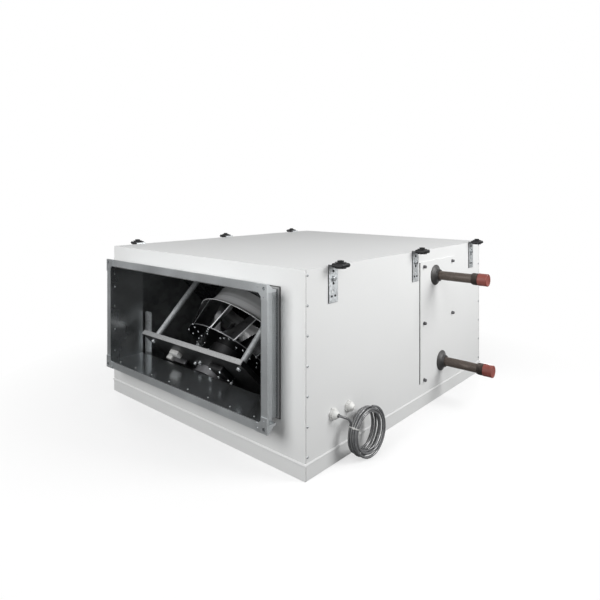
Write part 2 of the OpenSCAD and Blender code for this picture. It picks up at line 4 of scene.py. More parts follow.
import bmesh
import bpy
import numpy as np
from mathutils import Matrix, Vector


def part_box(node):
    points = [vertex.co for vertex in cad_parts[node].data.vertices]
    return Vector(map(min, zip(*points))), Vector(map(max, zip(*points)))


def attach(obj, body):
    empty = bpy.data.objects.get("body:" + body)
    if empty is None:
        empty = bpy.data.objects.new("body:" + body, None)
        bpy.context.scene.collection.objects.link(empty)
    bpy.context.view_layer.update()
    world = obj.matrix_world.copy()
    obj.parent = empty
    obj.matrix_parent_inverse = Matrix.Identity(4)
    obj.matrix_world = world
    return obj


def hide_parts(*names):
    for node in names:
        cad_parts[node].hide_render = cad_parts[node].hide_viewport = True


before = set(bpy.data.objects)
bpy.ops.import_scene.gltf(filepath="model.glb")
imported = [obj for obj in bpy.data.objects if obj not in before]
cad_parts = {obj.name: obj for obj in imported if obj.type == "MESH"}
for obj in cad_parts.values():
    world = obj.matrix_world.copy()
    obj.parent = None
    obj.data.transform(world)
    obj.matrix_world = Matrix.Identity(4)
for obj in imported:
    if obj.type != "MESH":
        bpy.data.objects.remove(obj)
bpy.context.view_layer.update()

bl_info = {
    "name": "Air handling unit dressing",
    "version": (1, 0, 0),
    "blender": (4, 5, 0),
    "location": "3D View, sidebar, Air unit",
    "description": "Finishes, cable, fasteners, pipe ends and studio for an air handling unit",
    "category": "Object",
}

# Bodies that the pieces ride on
CASE = "case"
IMPELLER = "impeller"


def corners(node):
    """Low and high corner of a node's box, to a micron."""
    return np.round(np.array([list(corner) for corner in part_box(node)]), 6)


def middle(node):
    """Middle of a node's box, to a micron."""
    return np.round(corners(node).mean(0), 6)


# Case and what it carries, read from the frame; all sizes are in metres, all angles in radians
HALF_W, HALF_L, TOP_Z = corners("top_panel")[1]
TOP_UNDER = corners("top_panel")[0, 2]
BASE_Z = corners("base_cover")[1, 2]
CORE_X = corners("right_wall")[0, 0]
COLLAR_HALF_W, _, COLLAR_TOP = corners("outlet_collar")[1]
COLLAR_Z = middle("outlet_collar")[2]
COLLAR_HALF_H = COLLAR_TOP - COLLAR_Z
COLLAR_T = 0.002
_, COVER_FRONT, COVER_FOOT = corners("heater_cover")[0]
COVER_FACE, _, COVER_TOP = corners("heater_cover")[1]
PIPES = {name: middle(f"{name}_pipe")[1:] for name in ("upper", "lower")}
PIPE_END = corners("upper_pipe")[1, 0]
_, HANGER_FIRST, HANGER_FOOT = corners("hangers_right")[0]
_, HANGER_LAST, HANGER_TOP = corners("hangers_right")[1]
HANGER_HALF = 0.0175
HANGER_T = 0.0025
HANGER_Y = np.linspace(HANGER_FIRST + HANGER_HALF, HANGER_LAST - HANGER_HALF, 3)

# Fan, in its own frame: along the axis from the disc, down the disc, and out from the axis
FAN_CENTRE = np.array([-0.045, -0.316, 0.158])
FAN_TILT = math.radians(44.5)
FAN_AXIS = np.array([0.0, math.cos(FAN_TILT), math.sin(FAN_TILT)])
FAN_DOWN = np.array([0.0, math.sin(FAN_TILT), -math.cos(FAN_TILT)])
FAN_SIDE = np.array([1.0, 0.0, 0.0])
DISC_R = 0.149
DISC_T = 0.0025
RIM_R = 0.160
RIM_AT = 0.085
NECK_R = 0.128
SHROUD_RISE = 0.072
SHROUD_T = 0.002
BLADES = 11
BLADE_IN = 0.088
BLADE_OUT = RIM_R + 0.006
BLADE_SWEEP = math.radians(40.0)
BLADE_CURVE = 0.8
BLADE_PHASE = math.radians(-13.0)
BLADE_LEAN = math.radians(28.0)
BLADE_T = 0.003
BLADE_TURNS = BLADE_PHASE + 2.0 * np.pi * np.arange(BLADES) / BLADES
BRACKET_AT = -0.078
BRACKET_TOP = -0.151
BRACKET_T = 0.003
TUBE_X = 0.200
TUBE_DOWN = (-0.118, 0.043)
TUBE_R = 0.0095
PARTITION_AT = 0.175
PARTITION_T = 0.003
PARTITION_HOLE = 0.134
NOZZLE_R = 0.121
NOZZLE_MOUTH = 0.132
NOZZLE_RIM = 0.146
NOZZLE_END = 0.154
NOZZLE_T = 0.0015

# Glands, cable coil and its tie
GLANDS = {name: middle(f"{name}_gland")[1:] for name in ("front", "rear")}
GLAND_LENGTH = 0.018
GLAND_TIP = HALF_W + GLAND_LENGTH
GLAND_INSET = 0.002
COIL_CENTRE = np.array([0.4560, -0.303, 0.0625])
COIL_R = 0.0583
TIE_TURN = math.radians(155.0)
TIE_OUT = np.array([0.0, math.cos(TIE_TURN), math.sin(TIE_TURN)])
TIE_ALONG = np.array([0.0, -math.sin(TIE_TURN), math.cos(TIE_TURN)])


class UnitSizes(bpy.types.PropertyGroup):
    """Sizes of the small pieces"""
    cable_d: bpy.props.FloatProperty(
        name="Cable diameter", description="Outside diameter of the control cable",
        default=0.006, unit="LENGTH")
    coil_turns: bpy.props.FloatProperty(
        name="Coil turns", description="Turns of cable in the coil", default=7.8)
    rivet_d: bpy.props.FloatProperty(
        name="Rivet diameter", description="Head diameter of the panel rivets",
        default=0.0068, unit="LENGTH")
    rivet_h: bpy.props.FloatProperty(
        name="Rivet height", description="Head height of the panel rivets",
        default=0.0018, unit="LENGTH")
    screw_d: bpy.props.FloatProperty(
        name="Cover screw head", description="Head width of the heater cover screws",
        default=0.0085, unit="LENGTH")
    bolt_d: bpy.props.FloatProperty(
        name="Hanger bolt head", description="Head width of the hanger bolts",
        default=0.012, unit="LENGTH")


class UnitColours(bpy.types.PropertyGroup):
    """Colours of the finishes"""
    paint: bpy.props.FloatVectorProperty(
        name="Case paint", description="Light grey case paint", subtype="COLOR",
        size=3, default=(0.78, 0.785, 0.78))
    zinc: bpy.props.FloatVectorProperty(
        name="Galvanised sheet", description="Zinc coated steel sheet", subtype="COLOR",
        size=3, default=(0.50, 0.52, 0.53))
    pipe: bpy.props.FloatVectorProperty(
        name="Pipe lacquer", description="Brown lacquer on the heater pipes", subtype="COLOR",
        size=3, default=(0.085, 0.066, 0.055))
    cap: bpy.props.FloatVectorProperty(
        name="Pipe cap", description="Brick red pipe caps", subtype="COLOR",
        size=3, default=(0.215, 0.052, 0.040))
    cable: bpy.props.FloatVectorProperty(
        name="Cable sheath", description="Grey cable sheath", subtype="COLOR",
        size=3, default=(0.12, 0.122, 0.126))


# Shader expressions

class Sock:
    """A node socket that does arithmetic by adding Math nodes."""

    def __init__(self, board, socket):
        self.board = board
        self.socket = socket

    def beside(self, out):
        """Another output of the same node."""
        return Sock(self.board, self.socket.node.outputs[out])

    def math(self, operation, *others):
        return self.board.add("ShaderNodeMath", {"operation": operation}, [self, *others])

    def __add__(self, other):
        return self.math("ADD", other)

    def __sub__(self, other):
        return self.math("SUBTRACT", other)

    def __rsub__(self, other):
        return self.board.add("ShaderNodeMath", {"operation": "SUBTRACT"}, [other, self])

    def __mul__(self, other):
        return self.math("MULTIPLY", other)

    def __gt__(self, other):
        return self.math("GREATER_THAN", other)

    def __lt__(self, other):
        return self.math("LESS_THAN", other)

    def __abs__(self):
        return self.math("ABSOLUTE")


def shade(colour, share):
    """A colour made darker or lighter by one share."""
    return [c * share for c in colour]


class Board:
    """The node tree of one material or world."""

    def __init__(self, owner):
        owner.use_nodes = True
        self.owner = owner
        self.tree = owner.node_tree

    def found(self, kind):
        """The first node of a kind that the tree came with."""
        return next(node for node in self.tree.nodes if node.type == kind)

    def add(self, kind, settings=None, inputs=None, out=0):
        """Adds a node, sets it up, then feeds its sockets by position or by name."""
        node = self.tree.nodes.new(kind)
        for key, value in (settings or {}).items():
            setattr(node, key, value)
        pairs = enumerate(inputs) if isinstance(inputs, list) else (inputs or {}).items()
        for key, value in pairs:
            self.feed(node.inputs[key], value)
        return Sock(self, node.outputs[out])

    def feed(self, socket, value):
        """Links a socket to another one, or gives it a plain value."""
        if isinstance(value, Sock):
            self.tree.links.new(value.socket, socket)
        elif isinstance(value, (tuple, list)) and len(value) == 3 and socket.type == "RGBA":
            socket.default_value = (*value, 1.0)
        else:
            socket.default_value = value

    def place(self, scale=None):
        """Object coordinates in metres, stretched where a scale is given."""
        spot = self.add("ShaderNodeTexCoord", out="Object")
        if scale is None:
            return spot
        return self.add("ShaderNodeMapping", None, {"Vector": spot, "Scale": scale})

    def axes(self):
        """The three Object coordinates, each by itself."""
        x = self.add("ShaderNodeSeparateXYZ", None, [self.place()])
        return x, x.beside(1), x.beside(2)

    def vector(self, operation, first, second=None, out="Value"):
        """Vector arithmetic; the result is a number unless another output is named."""
        inputs = [first] if second is None else [first, second]
        return self.add("ShaderNodeVectorMath", {"operation": operation}, inputs, out)

    def fan_frame(self):
        """Distance along the fan axis, down the bracket, and out from the axis."""
        spot = self.vector("SUBTRACT", self.place(), tuple(FAN_CENTRE), "Vector")
        along = self.vector("DOT_PRODUCT", spot, tuple(FAN_AXIS))
        down = self.vector("DOT_PRODUCT", spot, tuple(FAN_DOWN))
        reach = self.vector("LENGTH", spot)
        return along, down, (reach * reach - along * along).math("SQRT")

    def noise(self, scale, detail, rough, stretch=None):
        """Cloudy noise, with its scale in cells per metre."""
        return self.add("ShaderNodeTexNoise", None, {
            "Vector": self.place(stretch), "Scale": scale, "Detail": detail, "Roughness": rough})

    def cells(self, scale):
        """One random grey for each crystal cell."""
        cell = self.add("ShaderNodeTexVoronoi", None, {"Vector": self.place(), "Scale": scale}, "Color")
        return self.add("ShaderNodeSeparateColor", None, [cell])

    def ramp(self, value, low, high, start=0.0, end=1.0):
        """Maps a value from low..high to start..end and holds it there."""
        return self.add("ShaderNodeMapRange", None, {
            0: value, 1: low, 2: high, 3: start, 4: end})

    def mix(self, factor, first, second):
        """One colour turning into another as the factor goes from 0 to 1."""
        return self.add("ShaderNodeMix", {"data_type": "RGBA"}, {0: factor, 6: first, 7: second}, 2)

    def tones(self, value, low, high, base, dark, light):
        """A darker and a lighter shade of one colour, mixed by a value between low and high."""
        return self.mix(self.ramp(value, low, high), shade(base, dark), shade(base, light))

    def bump(self, height, distance, strength):
        """Surface relief of a height, with its depth in metres."""
        return self.add("ShaderNodeBump", None, {
            "Height": height, "Distance": distance, "Strength": strength})

    def set(self, **sockets):
        """Feeds the main shader and gives back its material."""
        shader = self.found("BSDF_PRINCIPLED")
        for key, value in sockets.items():
            self.feed(shader.inputs[key.replace("_", " ")], value)
        return self.owner


def material(name):
    """The board of a new material."""
    return Board(bpy.data.materials.new(name))


def zinc_layers(board, zinc, spangle=70.0, low=0.26, high=0.44):
    """Galvanised sheet: crystal cells of slightly different grey, with cloudy stains and fine grain."""
    crystal = board.cells(spangle)
    cloud = board.noise(9.0, 4.0, 0.6)
    grain = board.noise(420.0, 2.0, 0.5)
    tone = crystal * 0.22 + cloud * 0.30 + grain * 0.06
    colour = board.tones(tone, 0.1, 0.48, zinc, 0.72, 1.18)
    rough = board.ramp(cloud * 0.5 + crystal * 0.3, 0.15, 0.6, low, high)
    height = crystal * 0.4 + grain * 0.4
    return colour, rough, height


def zinc_finish(name, zinc, spangle=70.0, low=0.26, high=0.44, metal=0.9):
    """Galvanised sheet all over."""
    board = material(name)
    colour, rough, height = zinc_layers(board, zinc, spangle, low, high)
    return board.set(Base_Color=colour, Roughness=rough, Metallic=metal,
                     Normal=board.bump(height, 0.00012, 0.6))


def duct_finish(name, zinc, low, high, shade_and_dull):
    """Smooth galvanised duct sheet: soft clouds of tone and gloss, with painted shade darkening its upright
    sides, which are also rougher.
    """
    board = material(name)
    out = abs(board.axes()[0])
    upright = (out > COLLAR_HALF_W - COLLAR_T - 0.001) * (out < COLLAR_HALF_W - 0.0005)
    cloud = board.noise(7.0, 3.0, 0.5)
    grain = board.noise(260.0, 2.0, 0.5, (1.0, 0.15, 1.0))
    colour = board.tones(cloud * 0.8 + grain * 0.2, 0.3, 0.7, zinc, 0.95, 1.25)
    # Painted shade: the upright sides turn to dark zinc
    colour = board.mix(upright * shade_and_dull, colour, shade(zinc, 0.25))
    rough = board.ramp(cloud, 0.3, 0.7, low, high) + upright * (shade_and_dull * 0.13)
    return board.set(Base_Color=colour, Roughness=rough, Metallic=0.94,
                     Normal=board.bump(grain, 0.00002, 0.3))


def gasket_finish():
    """Wall gasket: grey foam, dark along its outer edge, with fine pores."""
    board = material("gasket_foam")
    x, _, z = board.axes()
    out = (abs(x) - COLLAR_HALF_W).math("MAXIMUM", abs(z - COLLAR_Z) - COLLAR_HALF_H)
    pores = board.noise(700.0, 3.0, 0.6)
    grey = board.mix(board.ramp(pores, 0.3, 0.7), (0.30, 0.30, 0.30), (0.44, 0.44, 0.44))
    return board.set(Base_Color=board.mix(out > 0.0045, grey, (0.014, 0.014, 0.015)), Roughness=0.7,
                     Normal=board.bump(pores, 0.0001, 0.5))


def hanger_finish(zinc):
    """Pale zinc leg, dark along its edges and its foot; the lug beyond its bend is dipped in black rubber."""
    board = material("hanger_zinc")
    x, y, z = board.axes()
    half = (HANGER_Y[1] - HANGER_Y[0]) / 2
    edge = 0.0004
    local = (y - HANGER_Y[1]).math("WRAP", half, -half)
    dark_rim = (abs(abs(local) - HANGER_HALF) < edge).math("MAXIMUM", z < HANGER_FOOT + edge)
    dipped = abs(x) > HALF_W + 0.0085
    colour, rough, height = zinc_layers(board, zinc, 170.0, 0.34, 0.5)
    colour = board.mix(dark_rim, colour, (0.06, 0.061, 0.063))
    colour = board.mix(dipped, colour, (0.014, 0.014, 0.015))
    return board.set(Base_Color=colour, Roughness=rough, Metallic=(1.0 - dipped) * 0.75,
                     Normal=board.bump(height, 0.0001, 0.5))


def paint_layers(board, paint):
    """Powder coat: fine orange peel, faint cloudy tone and painted shade that darkens it low down."""
    peel = board.noise(950.0, 2.0, 0.5)
    cloud = board.noise(3.2, 3.0, 0.5)
    speck = board.noise(240.0, 3.0, 0.6)
    colour = board.tones(cloud * 0.7 + speck * 0.3, 0.25, 0.75, paint, 0.965, 1.03)
    # Painted shade: the paint darkens towards the bottom
    low_shade = board.ramp(board.axes()[2], 0.40, 0.0, 0.0, 0.9)
    colour = board.mix(low_shade, colour, shade(paint, 0.86))
    rough = board.ramp(cloud + speck * 0.3, 0.3, 0.9, 0.36, 0.48)
    return colour, rough, peel


def case_finish(colours):
    """Case panels: paint outside, galvanised sheet inside, with fine dark lines of painted shade where the
    sheets meet.
    """
    board = material("case_paint")
    x, y, z = board.axes()
    skin = 0.0006
    side = abs(x) > HALF_W - skin
    outside = side.math("MAXIMUM", abs(y) > HALF_L - skin)
    outside = outside.math("MAXIMUM", z > TOP_Z - skin)
    outside = outside.math("MAXIMUM", z < BASE_Z - 0.0004)
    # Painted shade of the gaps where the side walls meet the front and rear
    seam_shade = (abs(abs(y) - (HALF_L - 0.0030)) < 0.0007) * side
    paint, rough, peel = paint_layers(board, colours.paint)
    zinc, zinc_rough, zinc_height = zinc_layers(board, shade(colours.zinc, 0.62), 60.0)
    inside = 1.0 - outside
    shown = board.mix(outside, zinc, paint)
    shown = board.mix(seam_shade * 0.75, shown, (0.11, 0.11, 0.115))
    shine = rough * outside + zinc_rough * inside
    height = peel * outside * 0.5 + zinc_height * inside
    return board.set(Base_Color=shown, Roughness=shine, Metallic=inside * 0.85, Specular_IOR_Level=0.22,
                     Normal=board.bump(height, 0.00010, 0.5))


def cover_finish(paint):
    """Paint of the heater cover and the base cover's lip, which show no inside face."""
    board = material("cover_paint")
    colour, rough, peel = paint_layers(board, paint)
    return board.set(Base_Color=colour, Roughness=rough, Specular_IOR_Level=0.22,
                     Normal=board.bump(peel * 0.5, 0.0001, 0.5))


def moulded(name, base, low_rough, high_rough, gloss=0.5):
    """Moulded plastic or rubber: fine grain, soft tone changes and worn shine."""
    board = material(name)
    cloud = board.noise(45.0, 3.0, 0.55)
    fine = board.noise(600.0, 2.0, 0.5)
    colour = board.tones(cloud, 0.3, 0.7, base, 0.82, 1.16)
    rough = board.ramp(cloud * 0.7 + fine * 0.3, 0.3, 0.7, low_rough, high_rough)
    return board.set(Base_Color=colour, Roughness=rough, Specular_IOR_Level=gloss,
                     Normal=board.bump(fine, 0.00008, 0.5))


def pipe_finish(pipe):
    """Lacquered pipe: brown film with lighter scuffs and dark specks along its length."""
    board = material("pipe_lacquer")
    scuff = board.noise(60.0, 5.0, 0.65, (0.35, 1.0, 1.0))
    speck = board.noise(330.0, 3.0, 0.6)
    tone_blend = board.ramp(scuff, 0.56, 0.68)
    colour = board.tones(speck, 0.35, 0.65, pipe, 0.7, 1.25)
    colour = board.mix(tone_blend * 0.55, colour, (0.22, 0.18, 0.15))
    rough = board.ramp(scuff, 0.3, 0.7, 0.34, 0.58)
    return board.set(Base_Color=colour, Roughness=rough, Metallic=0.25,
                     Normal=board.bump(speck * 0.5 + scuff, 0.00025, 0.6))


def dark_sheet(name, base, shine=0.3):
    """Dark coated sheet: oily dark film with a fine grain."""
    board = material(name)
    cloud = board.noise(24.0, 4.0, 0.6)
    fine = board.noise(300.0, 2.0, 0.5)
    colour = board.tones(cloud, 0.3, 0.7, base, 0.6, 1.5)
    rough = board.ramp(cloud + fine * 0.3, 0.4, 0.9, shine, shine + 0.2)
    return board.set(Base_Color=colour, Roughness=rough, Metallic=0.6,
                     Normal=board.bump(fine, 0.00008, 0.4))


def edged_sheet(name, base, edge, shine, mask):
    """Dark sheet with a painted highlight along its edge, the edge found in the fan's own frame."""
    board = material(name)
    # Painted highlight along the edge that the mask finds
    edge_glint = mask(*board.fan_frame())
    cloud = board.noise(30.0, 4.0, 0.6)
    fine = board.noise(380.0, 2.0, 0.5)
    dark = board.tones(cloud, 0.3, 0.7, base, 0.65, 1.4)
    light = board.tones(fine, 0.3, 0.7, edge, 0.85, 1.15)
    rough = board.ramp(cloud + fine * 0.3, 0.4, 0.9, shine, shine + 0.16)
    return board.set(Base_Color=board.mix(edge_glint, dark, light), Roughness=rough, Metallic=0.9,
                     Normal=board.bump(fine, 0.00006, 0.4))


def disc_edge(along, down, out):
    """The rim of the disc."""
    return out > DISC_R - 0.0010


def blade_edge(along, down, out):
    """The slanted outer end of the blades, from the disc rim to the shroud rim."""
    slope = (RIM_R - DISC_R) / (RIM_AT - DISC_T)
    return out - (along - DISC_T) * slope > DISC_R - 0.0016


def shroud_edge(along, down, out):
    """The cut rim of the shroud."""
    return (out > RIM_R - 0.0016) * (along < RIM_AT + 0.0025)


def bracket_edge(along, down, out):
    """The upper edge of the fan plate."""
    return down < BRACKET_TOP + 0.0031


def spun_finish():
    """Spun steel: fine turned rings, a painted highlight band half way up the curve with painted shade either
    side, dull near the rim, and a painted highlight along the cut.
    """
    board = material("spun_shroud")
    highlight_r, rings_per_metre = 0.139, 2600.0
    along, down, out = board.fan_frame()
    # Painted highlight: bright round this radius, painted darker away from it
    off_highlight = board.ramp(abs(out - highlight_r), 0.003, 0.013)
    ring = (out * rings_per_metre).math("SINE")
    cloud = board.noise(30.0, 4.0, 0.6)
    tone_blend = off_highlight + ring * 0.10 + (cloud - 0.5) * 0.3
    spun = board.mix(tone_blend, (0.97, 0.975, 0.98), (0.30, 0.302, 0.305))
    edge_glint = shroud_edge(along, down, out)
    shade_and_dull = off_highlight - edge_glint
    return board.set(Base_Color=board.mix(edge_glint, spun, (0.96, 0.965, 0.97)),
                     Roughness=board.ramp(shade_and_dull, 0.0, 1.0, 0.14, 0.26),
                     Metallic=board.ramp(shade_and_dull, 0.0, 1.0, 0.10, 0.6))


def cloth_finish():
    """Filter fleece: short crossed fibres with a little dust."""
    board = material("filter_fleece")
    fibre = board.noise(900.0, 4.0, 0.7, (1.0, 1.0, 0.2))
    cloud = board.noise(14.0, 3.0, 0.6)
    low_shade = board.ramp(fibre * 0.6 + cloud * 0.4, 0.3, 0.7)
    return board.set(Base_Color=board.mix(low_shade, (0.55, 0.56, 0.56), (0.80, 0.81, 0.80)), Roughness=0.9,
                     Normal=board.bump(fibre, 0.0004, 0.7))


def cable_finish(cable):
    """Cable sheath: smooth grey film with faint scuffs."""
    board = material("cable_sheath")
    scuff = board.noise(120.0, 3.0, 0.6)
    colour = board.tones(scuff, 0.35, 0.7, cable, 0.85, 1.2)
    rough = board.ramp(scuff, 0.3, 0.7, 0.13, 0.22)
    return board.set(Base_Color=colour, Roughness=rough, Specular_IOR_Level=0.9,
                     Normal=board.bump(scuff, 0.00004, 0.3))


FINISHES = {}


def finish(name):
    """The named finish; all are made at the first call."""
    if not FINISHES:
        colours = bpy.context.scene.unit_colours
        zinc = colours.zinc
        FINISHES.update({
            "case": case_finish(colours),
            "cover": cover_finish(colours.paint),
            "zinc": zinc_finish("galvanised_sheet", shade(zinc, 0.86)),
            "tube": zinc_finish("tube_zinc", shade(zinc, 0.9), 160.0, 0.36, 0.5, 0.35),
            "bright": zinc_finish("bright_zinc", shade(zinc, 1.2), 160.0),
            # Painted shade: partition and nozzle zinc darkened to a third for the dark inside of the unit
            "inner": zinc_finish("shaded_zinc", shade(zinc, 0.30), 60.0, 0.2, 0.34, 1.0),
            "collar": duct_finish("collar_sheet", zinc, 0.15, 0.23, 0.6),
            "rail": duct_finish("rail_sheet", shade(zinc, 0.95), 0.34, 0.44, 0.0),
            "gasket": gasket_finish(),
            "hanger": hanger_finish(shade(zinc, 1.3)),
            "shroud": spun_finish(),
            # Painted shade: blade and fan plate bodies are dark for the shade inside the unit; the disc is
            # black itself
            "blade": edged_sheet("blade_steel", (0.16, 0.16, 0.165), (0.88, 0.89, 0.90), 0.24, blade_edge),
            "disc": edged_sheet("black_disc", (0.012, 0.012, 0.013), (0.45, 0.46, 0.47), 0.26, disc_edge),
            "bracket": edged_sheet("bracket_sheet", (0.05, 0.05, 0.052), (0.48, 0.485, 0.485), 0.30,
                                   bracket_edge),
            "black_steel": dark_sheet("black_steel", (0.014, 0.014, 0.015), 0.30),
            "motor": dark_sheet("motor_casting", (0.10, 0.10, 0.105), 0.38),
            "thread": dark_sheet("oiled_thread", (0.045, 0.036, 0.031), 0.42),
            "rubber": moulded("black_rubber", (0.009, 0.009, 0.010), 0.30, 0.48, 0.25),
            "grommet": moulded("grommet_rubber", (0.036, 0.034, 0.033), 0.36, 0.55),
            "pipe": pipe_finish(colours.pipe),
            "cap": moulded("cap_plastic", colours.cap, 0.42, 0.58),
            "white": moulded("white_nylon", (0.72, 0.72, 0.70), 0.34, 0.46),
            "tie": moulded("tie_nylon", (0.46, 0.46, 0.45), 0.34, 0.46),
            "cable": cable_finish(colours.cable),
            "cloth": cloth_finish(),
        })
    return FINISHES[name]


# Surfaces

def quads(nu, nv, wrap_u=False, wrap_v=False):
    """Faces of a grid of nu by nv points, row after row, closed on itself where asked."""
    u = np.arange(nu if wrap_u else nu - 1)
    v = np.arange(nv if wrap_v else nv - 1)
    a, b = np.meshgrid(u, v, indexing="ij")
    c, d = (a + 1) % nu, (b + 1) % nv
    return np.stack([a * nv + b, c * nv + b, c * nv + d, a * nv + d], -1).reshape(-1, 4)


def mesh_piece(name, shape, body, finish_name, sharp=38.0):
    """A mesh object at the origin, smooth except where faces meet at more than the sharp angle."""
    points, faces = shape
    mesh = bpy.data.meshes.new(name)
    mesh.from_pydata(np.asarray(points).reshape(-1, 3).tolist(), [], np.asarray(faces).tolist())
    weld = bmesh.new()
    weld.from_mesh(mesh)
    bmesh.ops.remove_doubles(weld, verts=weld.verts, dist=2e-6)
    bmesh.ops.recalc_face_normals(weld, faces=weld.faces)
    weld.to_mesh(mesh)
    weld.free()
    mesh.polygons.foreach_set("use_smooth", np.ones(len(mesh.polygons), bool))
    mesh.set_sharp_from_angle(angle=math.radians(sharp))
    mesh.update()
    piece = bpy.data.objects.new(name, mesh)
    bpy.context.scene.collection.objects.link(piece)
    mesh.materials.append(finish(finish_name))
    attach(piece, body)
    return piece


def basis(normal):
    """Two unit vectors square to a normal, so that side x other is the normal."""
    normal = np.asarray(normal, float) / np.linalg.norm(normal)
    guide = np.array([0.0, 0.0, 1.0]) if abs(normal[2]) < 0.9 else np.array([1.0, 0.0, 0.0])
    side = np.cross(guide, normal)
    side /= np.linalg.norm(side)
    return side, np.cross(normal, side), normal


def turned(profile, around=24, ripple=None):
    """Surface of revolution: radius and height along the profile, turned round the height axis.
    A ripple multiplies the radius by a function of the turn and the place along the profile."""
    profile = np.asarray(profile, float)
    turn = np.linspace(0.0, 2.0 * np.pi, around, endpoint=False)
    radius = profile[:, 0][:, None] * np.ones(around)[None, :]
    if ripple is not None:
        radius = radius * ripple(turn[None, :], np.linspace(0.0, 1.0, len(profile))[:, None])
    height = profile[:, 1][:, None] * np.ones(around)[None, :]
    points = np.stack([radius * np.cos(turn), radius * np.sin(turn), height], -1)
    faces = quads(len(profile), around, wrap_v=True)
    return points.reshape(-1, 3), faces[:, ::-1]


def placed(shape, spots, normal, turns=None):
    """Copies of one shape, each stood on a spot along a normal."""
    points, faces = shape
    side, other, normal = basis(normal)
    spots = np.asarray(spots, float).reshape(-1, 3)
    turns = np.zeros(len(spots)) if turns is None else np.asarray(turns, float)
    ca, sa = np.cos(turns)[:, None], np.sin(turns)[:, None]
    px = points[None, :, 0] * ca - points[None, :, 1] * sa
    py = points[None, :, 0] * sa + points[None, :, 1] * ca
    pz = np.broadcast_to(points[None, :, 2], px.shape)
    world = spots[:, None, :] + px[..., None] * side + py[..., None] * other + pz[..., None] * normal
    steps = np.arange(len(spots))[:, None, None] * len(points)
    return world.reshape(-1, 3), (faces[None] + steps).reshape(-1, faces.shape[1])


def joined(*shapes):
    """Several shapes as one list of points and faces."""
    points, faces, count = [], [], 0
    for p, f in shapes:
        points.append(p)
        faces.append(f + count)
        count += len(p)
    return np.concatenate(points), np.concatenate(faces)


def dome(diameter, height):
    """Rivet head: a shallow dome with a rolled rim and a small dimple left by the pulled stem."""
    r, h = diameter / 2, height
    return turned([[0.0, h * 0.72], [r * 0.20, h * 0.72], [r * 0.26, h * 0.98], [r * 0.50, h * 0.94],
                   [r * 0.78, h * 0.72], [r * 0.95, h * 0.35], [r, h * 0.10], [r, -h * 0.2]], 20)


def plug(diameter):
    """Hole plug: a shallow dished button whose flange lies on the rim of its hole; black in the hanger holes,
    as painted shade.
    """
    r = diameter / 2 - 0.0002
    return turned([[0.0, 0.0006], [r * 0.6, 0.0007], [r * 0.92, 0.0011], [r, 0.0008], [r, -0.0001]], 20)


def six_sided(turn, along):
    """Ripple that pushes a round profile out to the hexagon round it, by one over a cosine."""
    flat = np.pi / 3
    return 1.0 / np.cos((turn + flat / 2) % flat - flat / 2)


def hex_head(width, height, washer=1.25):
    """Hex head with a chamfered top, standing on a round washer."""
    r = width / 2
    thin = height * 0.22
    plate = turned([[r * 0.6, thin], [r * washer * 0.94, thin], [r * washer, thin * 0.7],
                    [r * washer, -0.0002]], 24)
    head = turned([[0.0, height], [r * 0.70, height], [r * 0.92, height * 0.93], [r, height * 0.82],
                   [r, thin]], 36, six_sided)
    return joined(plate, head)


def rounded_box(size, radius, n=4):
    """Rounded box: each direction of a sphere, pushed out to its own corner's centre."""
    turn = (np.arange(8 * n) + 0.5) * np.pi / (4 * n)
    lift = np.linspace(-np.pi / 2, np.pi / 2, 4 * n)
    a, b = np.meshgrid(lift, turn, indexing="ij")
    ways = np.stack([np.cos(a) * np.cos(b), np.cos(a) * np.sin(b), np.sin(a)], -1)
    core = np.asarray(size) / 2 - radius
    corner = np.sign(ways) * core
    corner[[0, -1], :, :2] = 0.0
    ways[[0, -1], :, :2] = 0.0
    return (corner + radius * ways).reshape(-1, 3), quads(4 * n, 8 * n, wrap_v=True)


def carried(profile, path, frames_u, frames_v, closed=True):
    """A closed profile of two offsets carried along a path: point + a u + b v."""
    profile = np.asarray(profile, float)
    path = np.asarray(path, float)
    points = (path[:, None, :] + profile[None, :, 0, None] * frames_u[:, None, :]
              + profile[None, :, 1, None] * frames_v[:, None, :])
    return points.reshape(-1, 3), quads(len(path), len(profile), wrap_u=closed, wrap_v=True)


def fan_point(side, down, along):
    """Point in the fan's own frame: across, down the disc and along the axis."""
    return (FAN_CENTRE + np.multiply.outer(side, FAN_SIDE) + np.multiply.outer(down, FAN_DOWN)
            + np.multiply.outer(along, FAN_AXIS))


def tube_ends(along):
    """The four spacer tubes' places on the fan plate, at one distance along the axis."""
    across, down = np.meshgrid([-TUBE_X, TUBE_X], TUBE_DOWN, indexing="ij")
    return fan_point(across.ravel(), down.ravel(), np.full(across.size, along))


def swept(share, height, shift=0.0):
    """Blade point: a spiral of radius and turn by its share of the way out, leaned over with height."""
    radius = BLADE_IN + (BLADE_OUT - BLADE_IN) * share
    turn = BLADE_SWEEP * share ** BLADE_CURVE + shift / radius
    y = radius * np.sin(turn) / math.cos(BLADE_LEAN) + height * math.tan(BLADE_LEAN)
    return np.stack([radius * np.cos(turn), y, height], -1)


# Operators

